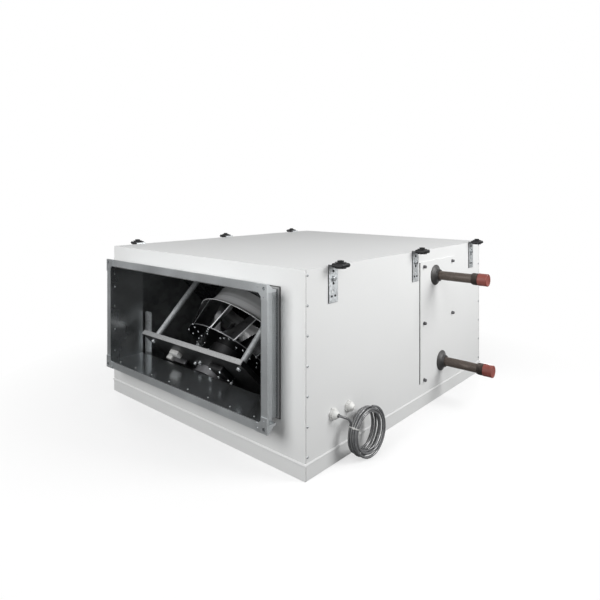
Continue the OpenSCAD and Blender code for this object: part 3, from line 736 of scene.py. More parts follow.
class UNIT_OT_stage(bpy.types.Operator):
    """Camera at the photograph's place, pale floor and soft studio light"""
    bl_idname = "unit.stage"
    bl_label = "Stage"

    # Camera: the photograph's width, focal length and horizon in pixels
    PHOTO_PX = 600.0
    FOCAL_PX = 515.8
    HORIZON_PX = 195.1
    SENSOR = 36.0
    EYE = (1.1805, -1.3757, 0.6494)
    LOOK = (-0.66, 0.7513, 0.0)
    FLOOR_REACH = 14.0
    FLOOR_DROP = 0.0005
    TENT_LEVEL = 0.16
    # Each lamp's place, aim, side and power in watts
    LAMPS = {
        "key_panel": ((1.9, 0.55, 1.20), (0.42, 0.05, 0.34), 1.0, 31.0),
        "front_panel": ((0.1, -2.3, 1.30), (0.1, -0.49, 0.36), 1.2, 37.5),
        "near_panel": ((1.9, -0.9, 1.25), (0.42, -0.2, 0.34), 1.0, 8.0),
        "left_panel": ((-2.1, 0.1, 0.24), (-0.42, 0.0, 0.24), 0.42, 15.0),
        "rear_panel": ((-0.2, 2.3, 0.24), (0.0, 0.5, 0.24), 0.42, 15.0),
    }

    def execute(self, context):
        scene = context.scene
        scene.view_settings.view_transform = "Standard"
        self.camera(scene)
        self.floor(scene)
        self.world(scene)
        for name, (spot, aim, size, power) in self.LAMPS.items():
            self.lamp(scene, name, spot, aim, size, power)
        return {"FINISHED"}

    def camera(self, scene):
        data = bpy.data.cameras.new("photo_camera")
        data.sensor_width = self.SENSOR
        data.lens = self.SENSOR * self.FOCAL_PX / self.PHOTO_PX
        data.shift_y = -(self.PHOTO_PX / 2 - self.HORIZON_PX) / self.PHOTO_PX
        camera = bpy.data.objects.new("photo_camera", data)
        camera.location = self.EYE
        camera.rotation_euler = Vector(self.LOOK).to_track_quat("-Z", "Y").to_euler()
        scene.collection.objects.link(camera)
        scene.camera = camera

    def lamp(self, scene, name, spot, aim, size, power):
        data = bpy.data.lights.new(name, "AREA")
        data.shape = "SQUARE"
        data.size = size
        data.energy = power
        lamp = bpy.data.objects.new(name, data)
        lamp.location = spot
        lamp.rotation_euler = (Vector(aim) - Vector(spot)).to_track_quat("-Z", "Y").to_euler()
        scene.collection.objects.link(lamp)

    def floor(self, scene):
        """Floor that keeps the shadow near the unit and turns plain white further off; grey to other rays."""
        ends = np.array([[-1, -1, 0], [1, -1, 0], [1, 1, 0], [-1, 1, 0]]) * self.FLOOR_REACH
        mesh = bpy.data.meshes.new("floor")
        mesh.from_pydata(ends.tolist(), [], [(0, 1, 2, 3)])
        floor = bpy.data.objects.new("floor", mesh)
        floor.location.z = -self.FLOOR_DROP
        scene.collection.objects.link(floor)
        board = material("pale_floor")
        seen = board.add("ShaderNodeLightPath", out="Is Camera Ray")
        cloud = board.noise(0.8, 3.0, 0.5)
        pale = board.mix(board.ramp(cloud, 0.3, 0.7), (0.94, 0.94, 0.94), (0.96, 0.96, 0.96))
        board.set(Base_Color=board.mix(seen, (0.22, 0.22, 0.22), pale), Roughness=0.85)
        far = board.ramp(board.vector("LENGTH", board.place()), 0.5, 1.1, 0.5, 1.0) * seen
        lit = Sock(board, board.found("BSDF_PRINCIPLED").outputs[0])
        white = board.add("ShaderNodeEmission", None, {"Color": (1.0, 1.0, 1.0), "Strength": 1.0})
        both = board.add("ShaderNodeMixShader", None, {0: far, 1: lit, 2: white})
        board.feed(board.found("OUTPUT_MATERIAL").inputs["Surface"], both)
        mesh.materials.append(board.owner)

    def world(self, scene):
        """Soft tent of light that camera, glossy and transmission rays see as plain white."""
        world = bpy.data.worlds.new("soft_tent")
        board = Board(world)
        board.tree.nodes.remove(board.found("BACKGROUND"))
        tent = board.add("ShaderNodeBackground", None,
                         {"Color": (0.97, 0.985, 1.0), "Strength": self.TENT_LEVEL})
        white = board.add("ShaderNodeBackground", None, {"Color": (1.0, 1.0, 1.0), "Strength": 1.0})
        camera = board.add("ShaderNodeLightPath", out="Is Camera Ray")
        rays = camera + camera.beside("Is Glossy Ray")
        clear = board.add("ShaderNodeMath", {"operation": "ADD", "use_clamp": True},
                          [rays, camera.beside("Is Transmission Ray")])
        both = board.add("ShaderNodeMixShader", None, {0: clear, 1: tent, 2: white})
        board.feed(board.found("OUTPUT_WORLD").inputs["Surface"], both)
        scene.world = world


class UNIT_OT_cable(bpy.types.Operator):
    """Control cable: a bend out of the gland, then a coil wound layer by layer"""
    bl_idname = "unit.cable"
    bl_label = "Cable and coil"

    # Distance between layers and between places: at the tie, added by spread, added by slack
    LAYER = (0.0062, 0.0042, 0.0045)
    PLACE = (0.0063, 0.0044)
    SWAY = 0.0010
    LEAD_OUT = 0.024
    LEAD_IN = 0.021
    POINTS_A_TURN = 44

    def route(self, sizes):
        """Cubic bend from the gland to the coil, then turns that step through two layers of four places.
        The places lie close at the tie, spread by the cosine of the turn away from it, and hang slack
        low down."""
        # Place across and layer inward of the strand at each count of turns
        across = np.array([0, 0, 1, 1, 2, 2, 3, 3, 3.1, 3.2]) - 1.5
        inward = np.array([0, 1, 1, 0, 0, 1, 1, 0, 0, -0.9])
        count = np.array([0, 1, 2, 3, 4, 5, 6, 7, 7.45, 8])
        s = np.linspace(0.0, sizes.coil_turns, int(sizes.coil_turns * self.POINTS_A_TURN))
        turn = TIE_TURN + 2.0 * np.pi * s
        spread = ((1.0 - np.cos(2.0 * np.pi * s)) / 2.0) ** 0.7
        slack = np.clip(-np.sin(turn + 0.26), 0.0, 1.0) ** 4
        layer = self.LAYER[0] + self.LAYER[1] * spread + self.LAYER[2] * slack
        radius = COIL_R - np.interp(s, count, inward) * layer
        radius = radius + self.SWAY * spread * np.sin(2.0 * turn + 2.1 * s)
        wide = np.interp(s, count, across) * (self.PLACE[0] + self.PLACE[1] * spread)
        coil = COIL_CENTRE + np.stack([wide, radius * np.cos(turn), radius * np.sin(turn)], -1)
        heading = coil[1] - coil[0]
        heading /= np.linalg.norm(heading)
        start = np.array([GLAND_TIP - GLAND_INSET, *GLANDS["front"]])
        p1 = start + self.LEAD_OUT * FAN_SIDE
        p2 = coil[0] - heading * self.LEAD_IN
        t = np.linspace(0.0, 1.0, 22, endpoint=False)[:, None]
        bend = (1 - t) ** 3 * start + 3 * (1 - t) ** 2 * t * p1 + 3 * (1 - t) * t ** 2 * p2 + t ** 3 * coil[0]
        return np.concatenate([bend, coil])

    def tie(self):
        """Tie band: a flat strap carried round a rounded rectangle that holds the strands."""
        count, half_x, half_out, bend_r = 32, 0.0098, 0.0036, 0.0032
        thick, half_w = 0.0011, 0.0014
        turn = (np.arange(count) + 0.5) * 2.0 * np.pi / count
        way = np.outer(np.cos(turn), FAN_SIDE) + np.outer(np.sin(turn), TIE_OUT)
        corner = (np.outer(np.sign(np.cos(turn)) * half_x, FAN_SIDE)
                  + np.outer(np.sign(np.sin(turn)) * half_out, TIE_OUT))
        path = COIL_CENTRE + TIE_OUT * (COIL_R - 0.0031) + corner + bend_r * way
        strap = [[0.0, -half_w], [0.0, half_w], [thick, half_w], [thick, -half_w]]
        piece = mesh_piece("cable_tie_band", carried(strap, path, way, np.tile(TIE_ALONG, (count, 1))), CASE,
                           "tie")
        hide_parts("cable_tie")
        return piece

    def execute(self, context):
        sizes = context.scene.unit_sizes
        path = self.route(sizes)
        data = bpy.data.curves.new("control_cable", "CURVE")
        data.dimensions = "3D"
        spline = data.splines.new("POLY")
        spline.points.add(len(path) - 1)
        spline.points.foreach_set("co", np.column_stack([path, np.ones(len(path))]).ravel())
        spline.use_smooth = True
        data.bevel_depth = sizes.cable_d / 2
        data.bevel_resolution = 3
        data.use_fill_caps = True
        cable = bpy.data.objects.new("control_cable", data)
        context.scene.collection.objects.link(cable)
        data.materials.append(finish("cable"))
        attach(cable, CASE)
        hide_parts("cable_lead", "cable_coil")
        self.tie()
        return {"FINISHED"}


class UNIT_OT_finishes(bpy.types.Operator):
    """Gives every node of the frame its finish"""
    bl_idname = "unit.finishes"
    bl_label = "Finishes"

    GROUPS = {
        "case": ("base_cover", "front_wall", "rear_wall", "left_wall", "right_wall", "top_panel"),
        "cover": ("heater_cover",),
        "zinc": ("heater_coil", "filter_frame", "motor_shaft"),
        "rail": ("outlet_rails", "inlet_rails", "outlet_corners", "inlet_corners"),
        "collar": ("outlet_collar", "inlet_collar"),
        "inner": ("fan_partition", "inlet_nozzle"),
        "bright": ("spacer_tubes", "upright_strips"),
        "hanger": ("hangers_left", "hangers_right"),
        "bracket": ("motor_bracket",),
        "shroud": ("impeller_shroud",),
        "blade": ("impeller_blades",),
        "disc": ("impeller_disc",),
        "black_steel": ("motor_rotor",),
        "motor": ("motor_housing",),
        "gasket": ("outlet_gasket", "inlet_gasket"),
        "rubber": ("hanger_isolators",),
        "grommet": ("upper_rosette", "lower_rosette"),
        "pipe": ("upper_pipe", "lower_pipe"),
        "cap": ("upper_cap", "lower_cap"),
        "white": ("front_gland", "rear_gland", "cable_tie"),
        "cable": ("cable_lead", "cable_coil"),
        "cloth": ("filter_media",),
    }

    def execute(self, context):
        dressed = {node: name for name, nodes in self.GROUPS.items() for node in nodes}
        edge_glint = sorted(set(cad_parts) - set(dressed))
        if edge_glint:
            raise RuntimeError(f"no finish for {edge_glint}")
        for node, name in dressed.items():
            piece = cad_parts[node]
            if piece.material_slots:
                piece.material_slots[0].material = finish(name)
            else:
                piece.data.materials.append(finish(name))
        return {"FINISHED"}


class UNIT_OT_rivets(bpy.types.Operator):
    """Rivets along the panel edges and round both collars"""
    bl_idname = "unit.rivets"
    bl_label = "Rivets"

    PANEL_FIRST = 0.0534
    PANEL_PITCH = 0.0689
    PANEL_COUNT = 7
    PANEL_EDGE = 0.0085
    COLLAR_Y = 0.5361
    COLLAR_HEIGHTS = (0.3999, 0.3587, 0.2986, 0.2259, 0.1594)
    COLLAR_ACROSS = np.linspace(-0.30, 0.30, 8)

    def collar(self, y):
        """Small rivets on the four inner faces of a collar, at one place along the duct."""
        small = dome(0.0045, 0.0012)
        inner_x, inner_z = COLLAR_HALF_W - COLLAR_T, COLLAR_HALF_H - COLLAR_T
        walls = [placed(small, [(s * inner_x, y, z) for z in self.COLLAR_HEIGHTS], (-s, 0, 0))
                 for s in (-1, 1)]
        floors = [placed(small, [(x, y, COLLAR_Z + s * inner_z) for x in self.COLLAR_ACROSS], (0, 0, -s))
                  for s in (-1, 1)]
        return joined(*walls, *floors)

    def execute(self, context):
        sizes = context.scene.unit_sizes
        head = dome(sizes.rivet_d, sizes.rivet_h)
        heights = self.PANEL_FIRST + self.PANEL_PITCH * np.arange(self.PANEL_COUNT)
        edge = HALF_L - self.PANEL_EDGE
        for side, name in ((1, "right"), (-1, "left")):
            spots = [(side * HALF_W, y, z) for y in (-edge, edge) for z in heights]
            mesh_piece(f"panel_rivets_{name}", placed(head, spots, (side, 0, 0)), CASE, "zinc")
        for sign, name in ((-1, "outlet"), (1, "inlet")):
            mesh_piece(f"{name}_collar_rivets", self.collar(sign * self.COLLAR_Y), CASE, "zinc")
        return {"FINISHED"}


class UNIT_OT_screws(bpy.types.Operator):
    """Heater cover screws, hanger bolts, black discs of painted shade in the unused hanger holes and sleeves
    on the lugs
    """
    bl_idname = "unit.screws"
    bl_label = "Screws and bolts"

    COVER_Y = (0.062, 0.257)
    COVER_Z = (0.430, 0.257, 0.0835)
    BOLT_DROP = 0.035
    # Each hole's diameter, shift along the case and drop below the lug
    HOLES = ((0.007, 0.0, 0.017), (0.007, 0.0, 0.0465), (0.006, -0.0066, 0.077), (0.006, 0.0066, 0.077))
    SLEEVE = (0.0345, 0.0330, 0.0105)
    SLEEVE_ROUND = 0.0040
    SLEEVE_OUT = 0.0248
    SLEEVE_DROP = 0.0012

    def on_hangers(self, shape, side, out, drop, normal, shift=0.0, turns=None):
        """Copies of one shape on the three hangers of a side."""
        spots = [(side * (HALF_W + out), y + shift, HANGER_TOP - drop) for y in HANGER_Y]
        return placed(shape, spots, normal, turns)

    def execute(self, context):
        sizes = context.scene.unit_sizes
        head = hex_head(sizes.screw_d, 0.0085)
        spots = [(COVER_FACE, y, z) for y in self.COVER_Y for z in self.COVER_Z]
        mesh_piece("cover_screws", placed(head, spots, (1, 0, 0), np.linspace(0.1, 2.3, len(spots))), CASE,
                   "motor", 28.0)
        head = hex_head(sizes.bolt_d, 0.0060)
        sleeve = rounded_box(self.SLEEVE, self.SLEEVE_ROUND)
        for side, name in ((1, "right"), (-1, "left")):
            away = (side, 0, 0)
            bolts = self.on_hangers(head, side, HANGER_T, self.BOLT_DROP, away, 0.0, [0.2, 0.7, 0.4])
            mesh_piece(f"hanger_bolts_{name}", bolts, CASE, "zinc", 28.0)
            # Painted shade: black discs in the hanger holes stand for the shade inside them
            shadow_discs = [self.on_hangers(plug(d), side, HANGER_T, drop, away, shift)
                     for d, shift, drop in self.HOLES]
            mesh_piece(f"hanger_hole_shadow_discs_{name}", joined(*shadow_discs), CASE, "rubber")
            sleeves = self.on_hangers(sleeve, side, self.SLEEVE_OUT, self.SLEEVE_DROP, (0, 0, 1))
            mesh_piece(f"hanger_sleeves_{name}", sleeves, CASE, "rubber")
        return {"FINISHED"}


class UNIT_OT_base_lip(bpy.types.Operator):
    """Folded lip of the base cover, proud of the case all round"""
    bl_idname = "unit.base_lip"
    bl_label = "Base cover lip"

    def lip(self):
        """Small rounded fold carried round the four corners of the case, mitred along their diagonals."""
        out = 0.0030
        ways = np.array([[1, -1], [1, 1], [-1, 1], [-1, -1]], float)
        path = np.column_stack([ways * [HALF_W, HALF_L], np.full(4, BASE_Z)])
        away = np.column_stack([ways, np.zeros(4)])
        up = np.tile([0.0, 0.0, 1.0], (4, 1))
        profile = [[-0.0003, -0.0060], [out * 0.55, -0.0058], [out * 0.95, -0.0046], [out, -0.0036],
                   [out * 0.9, -0.0024], [out * 0.5, -0.0002], [out * 0.3, 0.0002], [-0.0003, 0.0003]]
        return carried(profile, path, away, up)

    def execute(self, context):
        mesh_piece("base_cover_lip", self.lip(), CASE, "cover", 30.0)
        return {"FINISHED"}


class UNIT_OT_pipe_ends(bpy.types.Operator):
    """Threads and ribbed caps of the heater pipes"""
    bl_idname = "unit.pipe_ends"
    bl_label = "Pipe threads and caps"

    THREAD_CORE = 0.0163
    THREAD_PITCH = 0.0023
    THREAD_LENGTH = 0.022
    THREAD_SHOWN = 0.0195
    CAP_R = 0.0185
    CAP_BORE = 0.0168
    CAP_SKIRT = 0.024
    CAP_END = 0.004
    CAP_RIBS = 12.0

    def thread(self):
        """Helical thread: radius rises and falls with a triangle wave of place along plus turn."""
        rows, around = 70, 48
        along = np.linspace(0.0, self.THREAD_LENGTH, rows)
        turn = np.linspace(0.0, 2.0 * np.pi, around, endpoint=False)
        a, t = np.meshgrid(along, turn, indexing="ij")
        wave = np.abs(((a / self.THREAD_PITCH + t / (2 * np.pi)) % 1.0) * 2.0 - 1.0)
        ease = np.clip(np.minimum(a, self.THREAD_LENGTH - a) / 0.002, 0.0, 1.0)
        radius = self.THREAD_CORE + ease * (0.0003 + 0.0012 * wave)
        points = np.stack([radius * np.cos(t), radius * np.sin(t), a], -1).reshape(-1, 3)
        return points, quads(rows, around, wrap_v=True)[:, ::-1]

    def ribs(self, turn, along):
        """Grip ribs: a cosine of the turn, strongest on the skirt."""
        skirt = np.clip(1.0 - np.abs(along - 0.33) / 0.22, 0.0, 1.0)
        return 1.0 + 0.012 * skirt * np.cos(turn * self.CAP_RIBS)

    def cap(self):
        """Cap: turned shell with shallow grip ribs round its skirt and a softly dished end."""
        r, foot, end = self.CAP_R, -self.CAP_SKIRT, self.CAP_END
        profile = [[self.CAP_BORE, foot], [r * 0.99, foot], [r, foot + 0.001], [r, foot + 0.004],
                   [r * 0.985, foot + 0.006], [r * 0.985, end - 0.006], [r, end - 0.004], [r, end - 0.0015],
                   [r * 0.96, end - 0.0003], [r * 0.90, end], [r * 0.80, end - 0.0004],
                   [r * 0.5, end - 0.0010], [0.0, end - 0.0012]]
        points, faces = turned(profile, 96, self.ribs)
        return points, faces[:, ::-1]

    def execute(self, context):
        thread, cap = self.thread(), self.cap()
        for name, (y, z) in PIPES.items():
            start = [(PIPE_END - self.CAP_SKIRT - self.THREAD_SHOWN, y, z)]
            mesh_piece(f"{name}_pipe_thread", placed(thread, start, (1, 0, 0)), CASE, "thread",
                       60.0)
            piece = mesh_piece(f"{name}_pipe_cap", placed(cap, [(PIPE_END, y, z)], (1, 0, 0)), CASE,
                               "cap")
            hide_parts(f"{name}_cap")
        return {"FINISHED"}


class UNIT_OT_impeller(bpy.types.Operator):
    """Spun shroud and swept blades of the impeller"""
    bl_idname = "unit.impeller"
    bl_label = "Shroud and blades"

    def shroud(self):
        """Quarter ellipse from the rim in to the neck, turned round the fan axis, with a thin wall."""
        turn = np.linspace(0.0, np.pi / 2, 25)
        low = np.stack([RIM_R - (RIM_R - NECK_R) * np.sin(turn),
                        RIM_AT + SHROUD_RISE * (1 - np.cos(turn))], -1)
        high = np.stack([RIM_R - (RIM_R - NECK_R - SHROUD_T) * np.sin(turn),
                         RIM_AT + SHROUD_T + (SHROUD_RISE - SHROUD_T) * (1 - np.cos(turn))], -1)
        return turned(np.concatenate([low, high[::-1], low[:1]]), 120)

    def halved(self, test, low, high):
        """Root of a rising test by halving, for a whole grid at once."""
        for step in range(30):
            half = (low + high) / 2
            over = test(half) > 0.0
            low, high = np.where(over, low, half), np.where(over, half, high)
        return (low + high) / 2

    def face(self, shift):
        """One face of a blade: out to the cone through both rims, and up to the underside of the shroud."""
        along, up = np.meshgrid(np.linspace(0.0, 1.0, 15), np.linspace(0.0, 1.0, 9), indexing="ij")
        slope = (RIM_R - DISC_R) / (RIM_AT - DISC_T)
        first = 0.06

        def reach(share, height):
            return np.linalg.norm(swept(share, height, shift)[..., :2], axis=-1)

        def past_cone(share):
            return reach(share, height) - (DISC_R - 0.0010 + slope * (height - DISC_T))

        def past_shroud(rise):
            inward = np.clip((RIM_R - reach(share, rise)) / (RIM_R - NECK_R), 0.0, 0.87)
            return rise - (RIM_AT + SHROUD_RISE * (1.0 - np.sqrt(1.0 - inward ** 2)))

        height = DISC_T + up * (RIM_AT - DISC_T)
        for step in range(4):
            end = self.halved(past_cone, np.full(up.shape, 0.2), np.ones(up.shape))
            share = first + along * (end - first)
            top = self.halved(past_shroud, np.full(up.shape, DISC_T), np.full(up.shape, 0.15))
            height = DISC_T + up * (top - DISC_T)
        return swept(share, height, shift)

    def blades(self):
        """Both faces of a blade joined round their edges, copied round the axis."""
        loop = np.concatenate([self.face(0.0), self.face(BLADE_T)[:, ::-1]], 1)
        rows, count = loop.shape[:2]
        j = np.arange(count // 2 - 1)
        cap = np.stack([j, j + 1, count - 2 - j, count - 1 - j], -1)
        faces = np.concatenate([quads(rows, count, wrap_v=True), cap, cap[:, ::-1] + (rows - 1) * count])
        flat = loop.reshape(-1, 3)
        turn = BLADE_TURNS[:, None]
        side = flat[:, 0] * np.cos(turn) - flat[:, 1] * np.sin(turn)
        down = flat[:, 0] * np.sin(turn) + flat[:, 1] * np.cos(turn)
        points = fan_point(side.ravel(), down.ravel(), np.tile(flat[:, 2], BLADES))
        steps = np.arange(BLADES)[:, None, None] * len(flat)
        return points, (faces[None] + steps).reshape(-1, 4)

    def execute(self, context):
        piece = mesh_piece("spun_shroud", placed(self.shroud(), [FAN_CENTRE], FAN_AXIS), IMPELLER, "shroud")
        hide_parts("impeller_shroud")
        piece = mesh_piece("swept_blades", self.blades(), IMPELLER, "blade", 30.0)
        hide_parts("impeller_blades")
        return {"FINISHED"}


class UNIT_OT_fan_rivets(bpy.types.Operator):
    """Blade rivets on the impeller disc"""
    bl_idname = "unit.fan_rivets"
    bl_label = "Impeller rivets"

    SHARES = np.array([0.14, 0.34, 0.54, 0.70])

    def execute(self, context):
        foot = swept(self.SHARES, np.zeros(len(self.SHARES)))
        x, y = foot[:, 0], foot[:, 1] + 0.0016
        turn = np.arctan2(y, x)[None, :] + BLADE_TURNS[:, None]
        radius = np.broadcast_to(np.hypot(x, y), turn.shape)
        spots = fan_point((radius * np.cos(turn)).ravel(), (radius * np.sin(turn)).ravel(),
                          np.zeros(turn.size))
        mesh_piece("impeller_rivets", placed(dome(0.0070, 0.0020), spots, -FAN_AXIS), IMPELLER,
                   "bright")
        return {"FINISHED"}


class UNIT_OT_motor_fittings(bpy.types.Operator):
    """Bolts, connection boxes, clips and screws on the motor side of the bracket"""
    bl_idname = "unit.motor_fittings"
    bl_label = "Motor fittings"

    RING_R = 0.069
    RING_COUNT = 10
    # Each box's size, rounding and place on the bracket: across, down and stand-off
    BOXES = (((0.056, 0.060, 0.017), 0.004, (0.096, -0.072, 0.008)),
             ((0.050, 0.046, 0.015), 0.004, (-0.105, 0.010, 0.007)))
    CLIPS = (((0.040, 0.024, 0.014), 0.004, (-0.104, -0.090, 0.006)),
             ((0.026, 0.016, 0.018), 0.003, (-0.165, -0.051, 0.008)))
    BAR = (((0.056, 0.008, 0.016), 0.002, (-0.120, -0.046, 0.007)),)
    # Screws on the two boxes' lids: across, down and stand-off
    LIDS = (((0.075, 0.117), (-0.094, -0.050), 0.0165), ((-0.124, -0.086), (-0.006, 0.026), 0.0145))

    def fitted(self, rows):
        """Rounded boxes stood on the bracket."""
        boxes = [placed(rounded_box(size, radius), fan_point(side, down, BRACKET_AT - stand), -FAN_AXIS)
                 for size, radius, (side, down, stand) in rows]
        return joined(*boxes)

    def execute(self, context):
        bolts = placed(hex_head(0.011, 0.0050), tube_ends(BRACKET_AT), -FAN_AXIS, [0.2, 0.5, 0.9, 0.4])
        turn = np.arange(self.RING_COUNT) * 2.0 * np.pi / self.RING_COUNT + 0.2
        spots = fan_point(self.RING_R * np.cos(turn), self.RING_R * np.sin(turn),
                          np.full(self.RING_COUNT, BRACKET_AT))
        ring = placed(hex_head(0.0095, 0.006), spots, -FAN_AXIS, turn)
        mesh_piece("bracket_bolts", joined(bolts, ring), CASE, "bright", 28.0)
        mesh_piece("connection_boxes", self.fitted(self.BOXES), CASE, "black_steel")
        mesh_piece("cable_clips", self.fitted(self.CLIPS), CASE, "tie")
        mesh_piece("clip_bar", self.fitted(self.BAR), CASE, "motor")
        spots = [fan_point(side, down, BRACKET_AT - stand)
                 for sides, downs, stand in self.LIDS for down in downs for side in sides]
        mesh_piece("box_screws", placed(dome(0.0075, 0.0028), spots, -FAN_AXIS), CASE, "bright")
        return {"FINISHED"}


class UNIT_OT_fan_stand(bpy.types.Operator):
    """Partition with its bell nozzle, spacer tubes of the fan plate and the upright strip beside it"""
    bl_idname = "unit.fan_stand"
    bl_label = "Partition, nozzle, tubes and strip"

    STRIP_X = -0.318
    STRIP_Y = -0.4275
    STRIP_TOP = 0.265
    STRIP_HALF = 0.018
    STRIP_T = 0.002
    STRIP_CORNER = 0.007
    STRIP_FOOT = 0.022

    def partition(self):
        """Tilted plate: for each turn about the fan axis, from the round hole out to a rectangle's edge."""
        left, right = -CORE_X - FAN_CENTRE[0], CORE_X - FAN_CENTRE[0]
        lift = FAN_CENTRE[2] + PARTITION_AT * FAN_AXIS[2]
        top = (TOP_UNDER - lift) / FAN_DOWN[2] + PARTITION_T
        foot = (BASE_Z - lift) / FAN_DOWN[2]
        bends = np.arctan2([top, top, foot, foot], [left, right, left, right])
        turn = np.unique(np.concatenate([np.linspace(-np.pi, np.pi, 96, endpoint=False), bends]))
        c, s = np.cos(turn), np.sin(turn)
        edge = np.minimum(np.where(c > 0, right, -left) / np.maximum(np.abs(c), 1e-9),
                          np.where(s > 0, foot, -top) / np.maximum(np.abs(s), 1e-9))
        hole = np.full(len(turn), PARTITION_HOLE)
        reach = np.stack([hole, edge, edge, hole], -1)
        along = np.tile(PARTITION_AT + PARTITION_T * np.array([0, 0, 1, 1]), (len(turn), 1))
        points = fan_point((reach * c[:, None]).ravel(), (reach * s[:, None]).ravel(), along.ravel())
        return points, quads(len(turn), 4, wrap_u=True, wrap_v=True)

    def nozzle(self):
        """Bell: quarter ellipse from the throat out to a flat flange, turned round the fan axis."""
        top = PARTITION_AT + PARTITION_T + NOZZLE_T
        turn = np.linspace(0.0, np.pi / 2, 21)
        bell = np.stack([NOZZLE_R + (NOZZLE_MOUTH - NOZZLE_R) * (1 - np.cos(turn)),
                         NOZZLE_END + (top - NOZZLE_END) * np.sin(turn)], -1)
        flange = [[NOZZLE_RIM, top], [NOZZLE_RIM, top - NOZZLE_T], [NOZZLE_MOUTH, top - NOZZLE_T]]
        return turned(np.concatenate([bell, flange, bell[-2::-1] + [NOZZLE_T, 0.0], bell[:1]]), 120)

    def strip(self):
        """Upright plate on a foot: a thin rectangle carried up, drawn in by a quarter circle at its top."""
        half, corner = self.STRIP_HALF, self.STRIP_CORNER
        rise = np.linspace(0.0, 1.0, 9)
        draw = np.sqrt(np.maximum(1.0 - rise ** 2, 0.0))
        z = np.concatenate([[BASE_Z], self.STRIP_TOP - corner + corner * rise])
        x = np.concatenate([[half], half - corner + corner * draw])
        loop = np.array([[-1, 0], [1, 0], [1, self.STRIP_T], [-1, self.STRIP_T]])
        points = np.stack([self.STRIP_X + np.outer(x, loop[:, 0]),
                           self.STRIP_Y + np.outer(np.ones(len(z)), loop[:, 1]),
                           np.outer(z, np.ones(4))], -1).reshape(-1, 3)
        last = 4 * (len(z) - 1)
        faces = np.concatenate([quads(len(z), 4, wrap_v=True), [[3, 2, 1, 0], last + np.arange(4)]])
        plate = rounded_box((self.STRIP_FOOT, 2 * half, self.STRIP_T), 0.0005)
        spot = (self.STRIP_X, self.STRIP_Y + self.STRIP_FOOT / 2, BASE_Z + self.STRIP_T / 2)
        return joined((points, faces), placed(plate, [spot], (0, 0, 1)))

    def execute(self, context):
        start = BRACKET_AT + BRACKET_T
        reach = PARTITION_AT - start
        tube = turned([[0.0, 0.0], [TUBE_R, 0.0], [TUBE_R, reach], [0.0, reach]], 40)
        piece = mesh_piece("tilted_partition", self.partition(), CASE, "inner")
        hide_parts("fan_partition")
        piece = mesh_piece("bell_nozzle", placed(self.nozzle(), [FAN_CENTRE], FAN_AXIS), CASE, "inner")
        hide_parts("inlet_nozzle")
        piece = mesh_piece("tube_sleeves", placed(tube, tube_ends(start), FAN_AXIS), CASE, "tube")
        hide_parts("spacer_tubes")
        piece = mesh_piece("upright_strip", self.strip(), CASE, "bright")
        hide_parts("upright_strips")
        return {"FINISHED"}


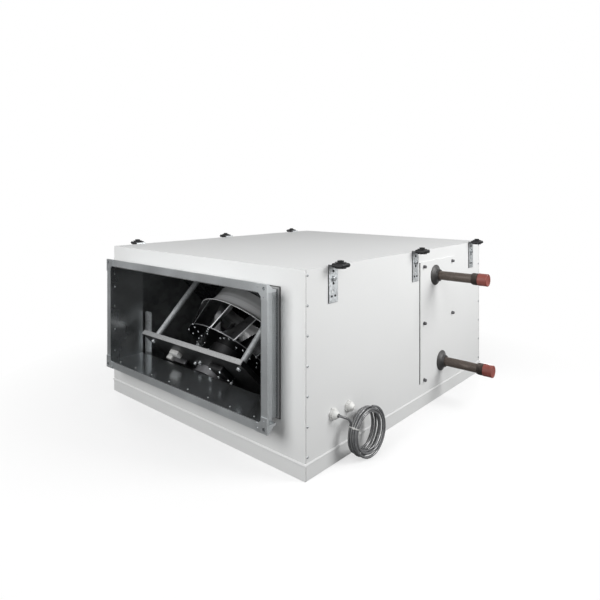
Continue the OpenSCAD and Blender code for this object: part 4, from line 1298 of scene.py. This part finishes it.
class UNIT_OT_small_plastics(bpy.types.Operator):
    """Glands with their nuts, seal and plug, the cable tie's head and a dark strip of painted shadow on the
    heater cover's front edge
    """
    bl_idname = "unit.small_plastics"
    bl_label = "Glands, tie head and edge strip"

    GLAND_BORE = 0.0037
    GLAND_NECK = 0.0100
    GLAND_FLANGE = 0.0134
    GLAND_BODY = 0.0116
    GLAND_ROOT = -0.008
    NUT_R = 0.0132
    TIE_HEAD = (0.0062, 0.0050, 0.0045)
    STRIP_W = 0.0014

    def gland(self):
        """Gland: turned shell with a wall flange, a straight body and a rounded nose round the bore."""
        bore, neck, flange, body = self.GLAND_BORE, self.GLAND_NECK, self.GLAND_FLANGE, self.GLAND_BODY
        root = self.GLAND_ROOT
        return turned([[bore, root], [neck, root], [neck, 0.0], [flange, 0.0], [flange, 0.0045],
                       [body, 0.0046], [body, 0.0090], [0.0102, 0.0115], [0.0080, 0.0144],
                       [0.0057, 0.0167], [0.0047, GLAND_LENGTH], [bore, GLAND_LENGTH], [bore, root]], 48)

    def nut(self):
        """Six-sided nut with both faces chamfered."""
        r = self.NUT_R
        return turned([[r * 0.8, 0.0050], [r * 0.93, 0.0050], [r, 0.0044], [r, 0.0010], [r * 0.93, 0.0004],
                       [r * 0.8, 0.0004], [r * 0.8, 0.0050]], 48, six_sided)

    def seal(self):
        """Rubber ring round the cable where it leaves the gland."""
        return turned([[0.0034, 0.0], [0.0048, 0.0004], [0.0052, -0.0010], [0.0040, -0.0025],
                       [0.0034, -0.0020], [0.0034, 0.0]], 32)

    def edge_strip(self):
        """Thin bevelled dark strip carried up the front edge of the heater cover, closed at both ends, as
        painted shadow of the gap there.
        """
        path = [[HALF_W, COVER_FRONT, COVER_FOOT], [HALF_W, COVER_FRONT, COVER_TOP]]
        outward = np.tile([0.0, -1.0, 0.0], (2, 1))
        forward = np.tile([1.0, 0.0, 0.0], (2, 1))
        profile = [[0.0, 0.0001], [self.STRIP_W, 0.0001], [self.STRIP_W, 0.0010], [0.0, 0.0014]]
        points, faces = carried(profile, path, outward, forward, False)
        return points, np.concatenate([faces, [[0, 1, 2, 3], [7, 6, 5, 4]]])

    def execute(self, context):
        away = (1, 0, 0)
        roots = {name: (HALF_W, *spot) for name, spot in GLANDS.items()}
        tips = {name: (GLAND_TIP, *spot) for name, spot in GLANDS.items()}
        for name, root in roots.items():
            piece = mesh_piece(f"{name}_gland_body", placed(self.gland(), [root], away), CASE, "white")
            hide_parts(f"{name}_gland")
        nuts = placed(self.nut(), list(roots.values()), away, [0.3, 0.1])
        mesh_piece("gland_nuts", nuts, CASE, "white", 28.0)
        mesh_piece("gland_seal", placed(self.seal(), [tips["front"]], away), CASE, "rubber")
        mesh_piece("gland_plug", placed(plug(0.0090), [tips["rear"]], away), CASE, "white")
        head = placed(rounded_box(self.TIE_HEAD, 0.0010),
                      [COIL_CENTRE + TIE_OUT * (COIL_R + 0.0058) + 0.004 * FAN_SIDE], TIE_OUT)
        mesh_piece("cable_tie_head", head, CASE, "tie")
        # Painted shadow: a black strip on the cover's front edge
        mesh_piece("cover_edge_shadow_strip", self.edge_strip(), CASE, "rubber", 30.0)
        return {"FINISHED"}


class UNIT_PT_panel(bpy.types.Panel):
    """Buttons for each group of pieces"""
    bl_idname = "UNIT_PT_panel"
    bl_label = "Air handling unit"
    bl_space_type = "VIEW_3D"
    bl_region_type = "UI"
    bl_category = "Air unit"

    def draw(self, context):
        for operator in OPERATORS:
            self.layout.operator(operator.bl_idname)
        for group in (context.scene.unit_sizes, context.scene.unit_colours):
            for name in group.__annotations__:
                self.layout.prop(group, name)


OPERATORS = (UNIT_OT_stage, UNIT_OT_cable, UNIT_OT_finishes, UNIT_OT_rivets, UNIT_OT_screws, UNIT_OT_base_lip,
             UNIT_OT_pipe_ends, UNIT_OT_impeller, UNIT_OT_fan_rivets, UNIT_OT_motor_fittings,
             UNIT_OT_fan_stand, UNIT_OT_small_plastics)
CLASSES = (UnitSizes, UnitColours, *OPERATORS, UNIT_PT_panel)


def register():
    for cls in CLASSES:
        bpy.utils.register_class(cls)
    bpy.types.Scene.unit_sizes = bpy.props.PointerProperty(type=UnitSizes)
    bpy.types.Scene.unit_colours = bpy.props.PointerProperty(type=UnitColours)


def unregister():
    del bpy.types.Scene.unit_colours
    del bpy.types.Scene.unit_sizes
    for cls in reversed(CLASSES):
        bpy.utils.unregister_class(cls)


def main():
    register()
    bpy.ops.unit.stage()
    bpy.ops.unit.cable()
    bpy.ops.unit.finishes()
    bpy.ops.unit.rivets()
    bpy.ops.unit.screws()
    bpy.ops.unit.base_lip()
    bpy.ops.unit.pipe_ends()
    bpy.ops.unit.impeller()
    bpy.ops.unit.fan_rivets()
    bpy.ops.unit.motor_fittings()
    bpy.ops.unit.fan_stand()
    bpy.ops.unit.small_plastics()


if __name__ == "__main__":
    main()
